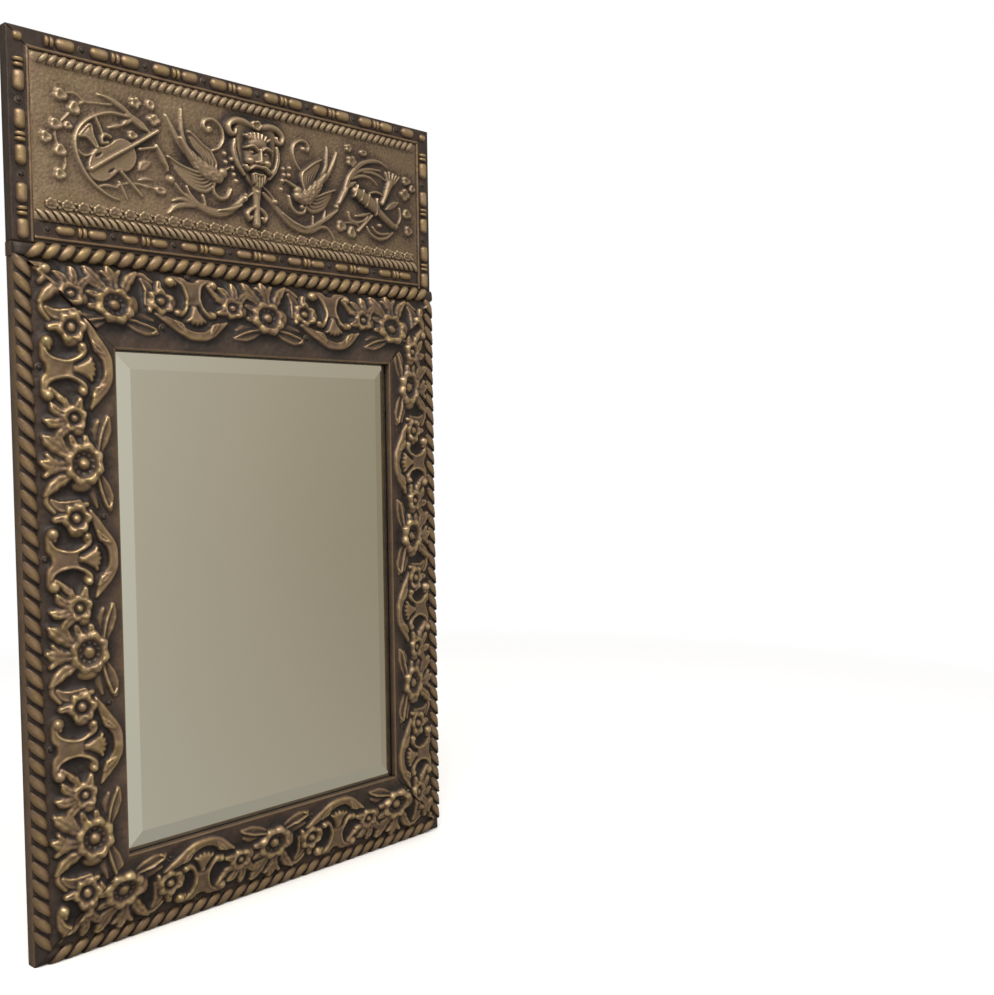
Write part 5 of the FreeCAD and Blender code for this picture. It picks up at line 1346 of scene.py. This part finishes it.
# Studio: pale floor under the object, soft light from above and a plain surround, darkest where the glass looks
studio = {
    "floor": "#FBFAF8", "floorHalf": 1.7, "fadeFrom": 0.45, "fadeTo": 1.3,
    "keyAt": (-0.75, -0.85, 1.45), "keyAim": (0, 0, 0.07), "keySize": (1.3, 0.9),
    "keyPower": 33.0, "keyColour": "#FFFBF5",
    "fill": 0.85,
    "facing": (0.80, -0.60, -0.04),
    "around": [(0.0, "#A8A091"), (0.55, "#E4E1D9"), (0.84, "#DAD3C6"), (0.95, "#BDB19F"), (1.0, "#A19480")],
    "height": [(0.0, 0.14), (0.18, 0.34), (0.32, 0.87), (0.5, 1.0), (1.0, 1.0)],
    "power": 0.95,
    "eye": (-0.5165, -0.7340, 0.1044), "yaw": 47.31, "pitch": -2.68, "roll": -0.71, "lens": 42.0,
}


def studioFloor():
    material, tree = newMaterial("palePaperFloor")
    place = addNode(tree, "ShaderNodeTexCoord").outputs["Object"]
    away = addNode(tree, "ShaderNodeVectorMath", {"operation": "LENGTH"}, {0: place})
    fade = addNode(tree, "ShaderNodeMapRange", {"interpolation_type": "SMOOTHSTEP", "From Min": studio["fadeFrom"],
                                                "From Max": studio["fadeTo"]}, {"Value": away.outputs["Value"]})
    paper = addNode(tree, "ShaderNodeBsdfDiffuse", {"Color": linear(studio["floor"])})
    clear = addNode(tree, "ShaderNodeBsdfTransparent")
    closeMaterial(tree, addNode(tree, "ShaderNodeMixShader", links={
        0: fade.outputs[0], 1: paper.outputs[0], 2: clear.outputs[0]}))
    reach, z = studio["floorHalf"], -halfH * mm
    mesh = bpy.data.meshes.new("floor")
    mesh.from_pydata([(-reach, -reach, z), (reach, -reach, z), (reach, reach, z), (-reach, reach, z)], [], [(0, 1, 2, 3)])
    mesh.materials.append(material)
    floor = bpy.data.objects.new("floor", mesh)
    floor.visible_glossy = False
    bpy.context.scene.collection.objects.link(floor)
    return floor


def surround():
    world = bpy.data.worlds.new("studio")
    world.use_nodes = True
    tree = world.node_tree
    tree.nodes.clear()
    place = addNode(tree, "ShaderNodeTexCoord").outputs["Generated"]
    axes = addNode(tree, "ShaderNodeSeparateXYZ", links={"Vector": place})
    level = addNode(tree, "ShaderNodeMapRange", {"From Min": -1.0, "From Max": 1.0}, {"Value": axes.outputs["Z"]})
    height = addNode(tree, "ShaderNodeValToRGB", {"stops": studio["height"]}, {"Fac": level.outputs[0]})
    toward = addNode(tree, "ShaderNodeVectorMath", {"operation": "DOT_PRODUCT", 1: studio["facing"]}, {0: place})
    colour = addNode(tree, "ShaderNodeValToRGB", {"stops": studio["around"]}, {"Fac": toward.outputs["Value"]})
    shaded = addNode(tree, "ShaderNodeMix", {"data_type": "RGBA", "blend_type": "MULTIPLY", 0: 1.0},
                     {6: colour.outputs["Color"], 7: height.outputs["Color"]})
    around = addNode(tree, "ShaderNodeBackground", {"Strength": studio["power"]}, {"Color": shaded.outputs[2]})
    soft = addNode(tree, "ShaderNodeBackground", {"Color": (1, 1, 1, 1), "Strength": studio["fill"]})
    backdrop = addNode(tree, "ShaderNodeBackground", {"Color": (1, 1, 1, 1), "Strength": 1.0})
    seen = addNode(tree, "ShaderNodeLightPath")
    lit = addNode(tree, "ShaderNodeMixShader", links={
        0: seen.outputs["Is Diffuse Ray"], 1: around.outputs[0], 2: soft.outputs[0]})
    mix = addNode(tree, "ShaderNodeMixShader", links={
        0: seen.outputs["Is Camera Ray"], 1: lit.outputs[0], 2: backdrop.outputs[0]})
    addNode(tree, "ShaderNodeOutputWorld", links={"Surface": mix.outputs[0]})
    bpy.context.scene.world = world


def keyLight():
    light = bpy.data.lights.new("key", "AREA")
    light.shape = "RECTANGLE"
    light.size, light.size_y = studio["keySize"]
    light.energy = studio["keyPower"]
    light.color = linear(studio["keyColour"])[:3]
    lamp = bpy.data.objects.new("key", light)
    lamp.location = studio["keyAt"]
    lamp.rotation_euler = (Vector(studio["keyAim"]) - lamp.location).to_track_quat("-Z", "Y").to_euler()
    bpy.context.scene.collection.objects.link(lamp)
    return lamp


def photoCamera():
    yaw, pitch, roll = (math.radians(studio[turn]) for turn in ("yaw", "pitch", "roll"))
    ahead = Vector((math.sin(yaw) * math.cos(pitch), math.cos(yaw) * math.cos(pitch), math.sin(pitch)))
    level = Vector((math.cos(yaw), -math.sin(yaw), 0))
    above = level.cross(ahead)
    right = math.cos(roll) * level + math.sin(roll) * above
    up = math.cos(roll) * above - math.sin(roll) * level
    data = bpy.data.cameras.new("photo")
    data.lens = studio["lens"]
    data.clip_start = 0.01
    camera = bpy.data.objects.new("photo", data)
    camera.matrix_world = Matrix.Translation(studio["eye"]) @ Matrix((right, up, -ahead)).transposed().to_4x4()
    bpy.context.scene.collection.objects.link(camera)
    bpy.context.scene.camera = camera
    return camera


surround()
studioFloor()
keyLight()
photoCamera()
bpy.context.scene.view_settings.view_transform = "Standard"
print("studio set")
